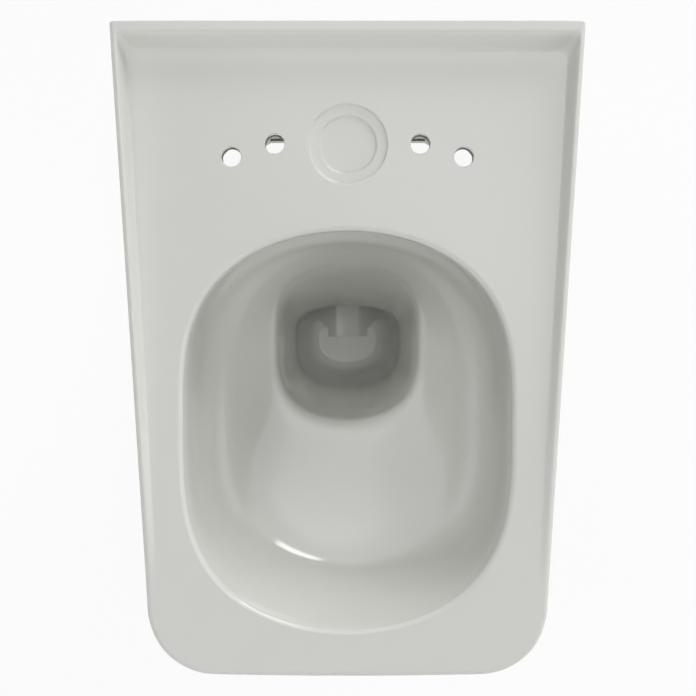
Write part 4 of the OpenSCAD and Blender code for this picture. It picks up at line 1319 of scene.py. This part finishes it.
class PAN_OT_wedges(bpy.types.Operator):
    """Model the wedge nuts that run along the side screws"""

    bl_idname = "toilet_pan.wedges"
    bl_label = "Clamp wedges"
    bl_options = {"REGISTER", "UNDO"}

    def execute(self, context):
        fittings, screw = context.scene.fitting_sizes, context.scene.fixing_sizes.screw
        brass = finish("machined brass")
        low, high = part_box("right_clamp_wedge")
        rise = (high.x - low.x) * fittings.arm_slope / fittings.arm
        outline = [(low.x, high.y), (high.x, high.y), (high.x, low.y + rise), (low.x, low.y)]
        wedge = round_edges(plate("right_wedge", outline, low.z, high.z, "Z", brass), 0.0006)
        radius, over, place = 0.0009, 0.002, 0.0072
        groove = [(radius, -over), (radius, high.x - low.x + over)]
        for side in SIDES:
            drill(wedge, "slide groove", groove, (low.x, high.y, side * place), RIGHT, 24, brass)
        cut_thread(wedge, fittings.screw_bore, depth=0.0005, pitch=fittings.screw_pitch,
                   span=(low.x, high.x), centre=(0, -screw, 0), axis=RIGHT, sink=(0.0013, 0.001),
                   points=40)
        on_both_sides(wedge, "clamp_wedge")
        return {"FINISHED"}


class PAN_OT_screws(bpy.types.Operator):
    """Model the side screws with their thread, knurled head and hexagon socket"""

    bl_idname = "toilet_pan.screws"
    bl_label = "Side screws"
    bl_options = {"REGISTER", "UNDO"}

    def execute(self, context):
        fittings = context.scene.fitting_sizes
        steel = finish("plated steel")
        low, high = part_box("right_side_screw")
        middle, head_radius = (low.y + high.y) / 2, (high.z - low.z) / 2
        centre, radius, end = (0, middle, 0), fittings.screw, high.x
        head, plain = end - fittings.screw_head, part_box("right_screw_clip")[0].x - 0.003
        thread_depth, thread_points = 0.0007, 40
        rings = thread_rings(radius, thread_depth, fittings.screw_pitch, low.x, plain, centre,
                             RIGHT, thread_points, tip=0.0009)
        for along in (plain + 0.001, head + 0.001):
            rings.append(circle(radius, along, centre, RIGHT, thread_points))
        screw = loft("right_screw", rings, steel)
        edge, knurl = 0.0007, 0.00022
        shape = [(head_radius - 0.0003, head, 0), (head_radius, head + 0.0003, 0),
                 (head_radius, head + 0.0007, 0), (head_radius, head + 0.001, knurl),
                 (head_radius, end - 0.0015, knurl), (head_radius, end - 0.0012, 0),
                 (head_radius, end - edge, 0), (head_radius - edge * 0.3, end - edge * 0.3, 0),
                 (head_radius - edge, end, 0)]
        flutes, head_points = 36, 144
        rings = [fluted_circle(reach, along, depth, flutes, centre, RIGHT, head_points)
                 for reach, along, depth in shape]
        combine(screw, loft("head", rings, steel), "UNION")
        reach = fittings.key / 2 / math.cos(math.radians(30))
        floor = end - fittings.screw_head * 0.6
        combine(screw, plate("key", hexagon(middle, reach), floor, end + 0.001, "X", steel))
        sink = [(reach + 0.0008, end + 0.0003), (reach - 0.0004, end - 0.0009)]
        drill(screw, "countersink", sink, centre, RIGHT, 48, steel)
        on_both_sides(screw, "side_screw")
        return {"FINISHED"}


class PAN_OT_clips(bpy.types.Operator):
    """Model the open spring clips that hold the screws in their bushes"""

    bl_idname = "toilet_pan.clips"
    bl_label = "Screw clips"
    bl_options = {"REGISTER", "UNDO"}

    def execute(self, context):
        spring = finish("spring steel")
        low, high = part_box("right_screw_clip")
        outer, inner = (high.z - low.z) / 2, context.scene.fitting_sizes.screw
        thick, middle = high.x - low.x, -context.scene.fixing_sizes.screw
        corners = [(inner, 0, 0.0001), (outer, 0, 0.0002), (outer, thick, 0.0002),
                   (inner, thick, 0.0001)]
        clip = turned_ring("right_clip", corners, (low.x, middle, 0), RIGHT, 96, spring)
        mouth, flare, near, far = inner * 0.7, 0.0016, middle + 0.0052, middle + 0.009
        opening = [(middle, -mouth), (near, -mouth), (far, -mouth - flare),
                   (far, mouth + flare), (near, mouth), (middle, mouth)]
        combine(clip, plate("mouth", opening, low.x - 0.001, high.x + 0.001, "X", spring))
        notch, ring = [(0.0015, -0.001), (0.0015, thick + 0.001)], 0.0047
        for t in (math.radians(118), math.radians(-118)):
            spot = (low.x, middle + ring * math.cos(t), ring * math.sin(t))
            drill(clip, "notch", notch, spot, RIGHT, 32, spring)
        on_both_sides(clip, "screw_clip")
        return {"FINISHED"}


class PAN_OT_bushes(bpy.types.Operator):
    """Model the flanged bushes in which the side screws turn"""

    bl_idname = "toilet_pan.bushes"
    bl_label = "Screw bushes"
    bl_options = {"REGISTER", "UNDO"}

    def execute(self, context):
        fittings = context.scene.fitting_sizes
        low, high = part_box("right_screw_bush")
        bore, barrel = fittings.screw_bore, context.scene.fixing_sizes.bush - 0.0003
        flange, end, flute = (high.z - low.z) / 2, high.x - low.x, 0.0005
        step, seat = end - fittings.flange, end - 0.0004
        corners = [
            (bore + 0.0006, 0), (barrel - 0.0011, 0, 0.0003), (barrel, 0.0016, 0.0004),
            (barrel, 0.003), (barrel, 0.0038, 0, flute), (barrel, step - 0.0018, 0, flute),
            (barrel, step - 0.001), (barrel, step), (flange - 0.0002, step, 0.0002),
            (flange, step + 0.0003, 0.0002), (flange, end, 0.0006), (bore + 0.0032, end, 0.0002),
            (bore + 0.003, seat, 0.0002), (bore + 0.0006, seat), (bore, end - 0.001),
            (bore, 0.0006)]
        centre = (low.x, (low.y + high.y) / 2, 0)
        plastic = finish("moulded plastic")
        bush = turned_ring("right_bush", corners, centre, RIGHT, 80, plastic, flutes=8)
        on_both_sides(bush, "screw_bush")
        return {"FINISHED"}


class PAN_OT_caps(bpy.types.Operator):
    """Model the cover caps, flush with the sides of the pan, with their slotted plugs"""

    bl_idname = "toilet_pan.caps"
    bl_label = "Cover caps"
    bl_options = {"REGISTER", "UNDO"}

    def execute(self, context):
        sizes, fittings = context.scene.pan_sizes, context.scene.fitting_sizes
        gloss = finish("cap plastic")
        low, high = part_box("right_cover_cap")
        radius, middle = (high.z - low.z) / 2, (low.y + high.y) / 2
        centre, start, seat = (0, middle, 0), low.x, low.x + fittings.plug_length
        plug, room = fittings.plug, fittings.plug - fittings.plug_wall
        rings = [circle(r, along, centre, RIGHT, 96) for r, along in (
            (plug - 0.0005, start), (plug, start + 0.0006), (plug, start + 0.001),
            (plug + 0.00015, start + 0.0015), (plug, start + 0.002), (plug - 0.0002, seat - 0.0002),
            (plug, seat), (radius - 0.0003, seat), (radius, seat + 0.0003))]
        # Rings of the face, which follows the side of the pan: radius and depth under it
        under = 0.00003
        face = [(radius, 0.0007), (radius - 0.0001, 0.0004), (radius - 0.0003, 0.00018),
                (radius - 0.0006, 0.00006), (radius - 0.001, under)]
        face += [(radius * share, under) for share in (0.8, 0.55, 0.3, 0.1)]
        for r, drop in face:
            ring = circle(r, 0, centre, RIGHT, 96)
            for point in ring:
                point.x = side_x(sizes, point.z, -point.y) - drop
            rings.append(ring)
        cap = loft("right_cap", rings, gloss)
        hollow = [(room + 0.0002, start - 0.001), (room, seat - 0.0006), (room - 0.0006, seat)]
        drill(cap, "plug room", hollow, centre, RIGHT, 64, gloss)
        half = 0.0009
        for across, tall in ((plug + 0.001, half), (half, plug + 0.001)):
            slot = [(middle - across, -tall), (middle + across, -tall),
                    (middle + across, tall), (middle - across, tall)]
            combine(cap, plate("slot", slot, start - 0.001, seat - 0.0012, "X", gloss))
        notch, spot = [(0.0016, -0.002), (0.0016, 0.004)], (seat + 0.0004, middle, low.z - 0.0002)
        drill(cap, "pry notch", notch, spot, RIGHT, 32, gloss)
        on_both_sides(cap, "cover_cap", mirror=True)
        return {"FINISHED"}


# The stage: a white floor, soft light from all around and from two panels, and the camera


# Soft light of the room: bands of rise in degrees, with brightness in equal steps round from +X
ROOM = [
    (0, 12, (1.5, 2.91, 3.56, 1.44, 0, 0.33, 1.64, 2.25, 1.61, 1.2, 1.83, 1.93)),
    (12, 24, (0, 3.2, 0.2, 1.25, 0, 0, 0, 0, 0, 0, 2.08, 0.36)),
    (24, 38, (0, 0, 0, 0, 0, 0, 0, 0.14, 0.73, 2.66, 1.96, 0)),
    (38, 54, (0, 0, 0.56, 1.51, 0, 0.53, 0, 0)),
    (54, 70, (0.57, 0.6, 0.41, 1.77, 0.83, 0.62, 0, 0.1)),
    (70, 80, (2.27, 1.47, 1.04, 1.14, 1.12, 0.26, 0.88, 2.09)),
    (80, 90, (1.26, 1.02, 0, 0)),
]

# Soft panels far away: name, degrees round and up, half width and height at distance 1,
# brightness and softness of the edge
PANELS = [
    ("window", (64, 21), (0.21, 0.15), 6.0, 0.04),
    ("softbox", (50, 70), (0.4, 0.25), 0.7, 0.12),
]


def seen_rays(tree):
    """1 for a ray from the camera, and for one that glaze, metal or glass shows."""
    path = add_node(tree, "LightPath").outputs
    mirrored_ray = calculate(tree, "MAXIMUM", path["Is Glossy Ray"], path["Is Transmission Ray"])
    return calculate(tree, "MAXIMUM", path["Is Camera Ray"], mirrored_ray)


def white_floor(sizes):
    """White floor, darker only where the pan shades it. From below it is clear."""
    material = bpy.data.materials.new("white floor")
    material.use_nodes = True
    tree = material.node_tree
    matt = add_node(tree, "BsdfDiffuse", {"Color": (0.8, 0.8, 0.8, 1)})
    dark = add_node(tree, "BsdfDiffuse", {"Color": [1 - sizes.floor_lift] * 3 + [1]})
    lift = add_node(tree, "Emission", {"Strength": sizes.floor_lift})
    seen = add_node(tree, "AddShader", {0: dark.outputs[0], 1: lift.outputs[0]})
    above = add_node(
        tree, "MixShader", {0: seen_rays(tree), 1: matt.outputs[0], 2: seen.outputs[0]})
    clear = add_node(tree, "BsdfTransparent")
    below = add_node(tree, "NewGeometry").outputs["Backfacing"]
    floor = add_node(tree, "MixShader", {0: below, 1: above.outputs[0], 2: clear.outputs[0]})
    tree.links.new(floor.outputs[0], tree.nodes["Material Output"].inputs["Surface"])
    return material


def room_light(tree, way):
    """Brightness of the room in the given direction."""
    parts = add_node(tree, "SeparateXYZ", {0: way}).outputs
    turn = calculate(tree, "ARCTAN2", parts["Y"], parts["X"])
    turn = calculate(tree, "FRACT", calculate(tree, "DIVIDE", turn, 2 * math.pi))
    brightest = max(max(levels) for _, _, levels in ROOM)
    total = 0.0
    for low, high, levels in ROOM:
        ramp = add_node(tree, "ValToRGB", {"Fac": turn})
        ramp.color_ramp.interpolation = "CONSTANT"
        stops = ramp.color_ramp.elements
        while len(stops) < len(levels):
            stops.new(0.5)
        for step, level in enumerate(levels):
            stops[step].position = step / len(levels)
            stops[step].color = [level / brightest] * 3 + [1]
        bottom, top = math.sin(math.radians(low)), math.sin(math.radians(high))
        band = calculate(tree, "COMPARE", parts["Z"], (bottom + top) / 2, (top - bottom) / 2)
        total = calculate(tree, "MULTIPLY_ADD", ramp.outputs["Color"], band, total)
    return calculate(tree, "MULTIPLY", total, brightest)


def panel_light(tree, way, aim, half, strength, soft):
    """Brightness that one soft panel adds to the light from the given direction."""
    azimuth, rise = (math.radians(angle) for angle in aim)
    level = Vector((math.cos(azimuth), math.sin(azimuth), 0))
    forward = level * math.cos(rise) + Vector((0, 0, math.sin(rise)))
    right = Vector((-level.y, level.x, 0))

    def along(axis):
        dot = add_node(tree, "VectorMath", {0: way, 1: axis}, operation="DOT_PRODUCT")
        return dot.outputs["Value"]

    ahead = along(forward)
    in_front = calculate(tree, "GREATER_THAN", ahead, 0.05)
    result = calculate(tree, "MULTIPLY", in_front, strength)
    for axis, reach in zip((right, forward.cross(right)), half):
        away = calculate(tree, "ABSOLUTE", calculate(tree, "DIVIDE", along(axis), ahead))
        edge = add_node(
            tree, "MapRange", {"From Min": reach + soft, "From Max": reach - soft, "Value": away},
            interpolation_type="SMOOTHSTEP")
        result = calculate(tree, "MULTIPLY", result, edge.outputs["Result"])
    return result


def studio_room(world, sizes):
    """Light the pan from the room and the panels, before white that glaze and metal show too."""
    world.use_nodes = True
    tree = world.node_tree
    way = add_node(tree, "TexCoord").outputs["Generated"]
    room = calculate(tree, "MULTIPLY", room_light(tree, way), sizes.room_light)
    around = add_node(tree, "Mix", {"Factor": seen_rays(tree), "A": room, "B": 1.0})
    total = around.outputs["Result"]
    for name, *settings in PANELS:
        panel = calculate(tree, "MULTIPLY", panel_light(tree, way, *settings), sizes.room_light)
        total = calculate(tree, "ADD", total, panel)
        total.node.label = name
    background = tree.nodes["Background"]
    background.inputs["Color"].default_value = (1, 1, 1, 1)
    tree.links.new(total, background.inputs["Strength"])


class PAN_OT_stage(bpy.types.Operator):
    """Lay the white floor, set up the light and put the camera above the pan"""

    bl_idname = "toilet_pan.stage"
    bl_label = "Stage"
    bl_options = {"REGISTER", "UNDO"}

    def execute(self, context):
        sizes = context.scene.stage_sizes
        deselect_all()
        middle = (0, -0.25, sizes.floor)
        bpy.ops.mesh.primitive_plane_add(size=sizes.floor_size, location=middle)
        floor = context.object
        floor.name = "floor"
        bpy.ops.object.transform_apply(location=True, rotation=False, scale=False)
        floor.data.materials.append(white_floor(sizes))

        world = context.scene.world or bpy.data.worlds.new("room")
        context.scene.world = world
        studio_room(world, sizes)

        bpy.ops.object.camera_add(location=sizes.camera, rotation=(0, 0, 0))
        camera = context.object
        camera.name = "camera"
        camera.data.lens = 50
        camera.data.sensor_width = 36
        camera.data.clip_start = 0.01
        context.scene.camera = camera
        context.scene.view_settings.view_transform = "Standard"
        return {"FINISHED"}


class PAN_PT_panel(bpy.types.Panel):
    """Sizes, colours and steps of the toilet pan"""

    bl_idname = "PAN_PT_panel"
    bl_label = "Toilet pan"
    bl_space_type = "VIEW_3D"
    bl_region_type = "UI"
    bl_category = "Toilet pan"

    def draw(self, context):
        for name, group in GROUPS.items():
            values = getattr(context.scene, name)
            box = self.layout.box()
            box.label(text=group.__doc__)
            for key in group.__annotations__:
                box.prop(values, key)
        for step in STEPS:
            self.layout.operator(step.bl_idname)


GROUPS = {"pan_sizes": PanSizes, "bowl_sizes": BowlSizes, "fixing_sizes": FixingSizes,
          "fitting_sizes": FittingSizes, "finish_colours": FinishColours, "stage_sizes": StageSizes}
STEPS = (PAN_OT_china, PAN_OT_seals, PAN_OT_distributor, PAN_OT_sleeves, PAN_OT_blocks,
         PAN_OT_nuts, PAN_OT_wedges, PAN_OT_screws, PAN_OT_clips, PAN_OT_bushes, PAN_OT_caps,
         PAN_OT_stage)


def register():
    """Register the classes and hang the property groups on the scene."""
    for entry in (*GROUPS.values(), *STEPS, PAN_PT_panel):
        bpy.utils.register_class(entry)
    for name, group in GROUPS.items():
        setattr(bpy.types.Scene, name, bpy.props.PointerProperty(type=group))


def unregister():
    """Take the property groups off the scene and unregister the classes."""
    for name in GROUPS:
        delattr(bpy.types.Scene, name)
    for entry in reversed((*GROUPS.values(), *STEPS, PAN_PT_panel)):
        bpy.utils.unregister_class(entry)


def main():
    """Model every piece in order."""
    register()
    bpy.ops.toilet_pan.china()
    bpy.ops.toilet_pan.seals()
    bpy.ops.toilet_pan.distributor()
    bpy.ops.toilet_pan.sleeves()
    bpy.ops.toilet_pan.blocks()
    bpy.ops.toilet_pan.nuts()
    bpy.ops.toilet_pan.wedges()
    bpy.ops.toilet_pan.screws()
    bpy.ops.toilet_pan.clips()
    bpy.ops.toilet_pan.bushes()
    bpy.ops.toilet_pan.caps()
    bpy.ops.toilet_pan.stage()


if __name__ == "__main__":
    main()
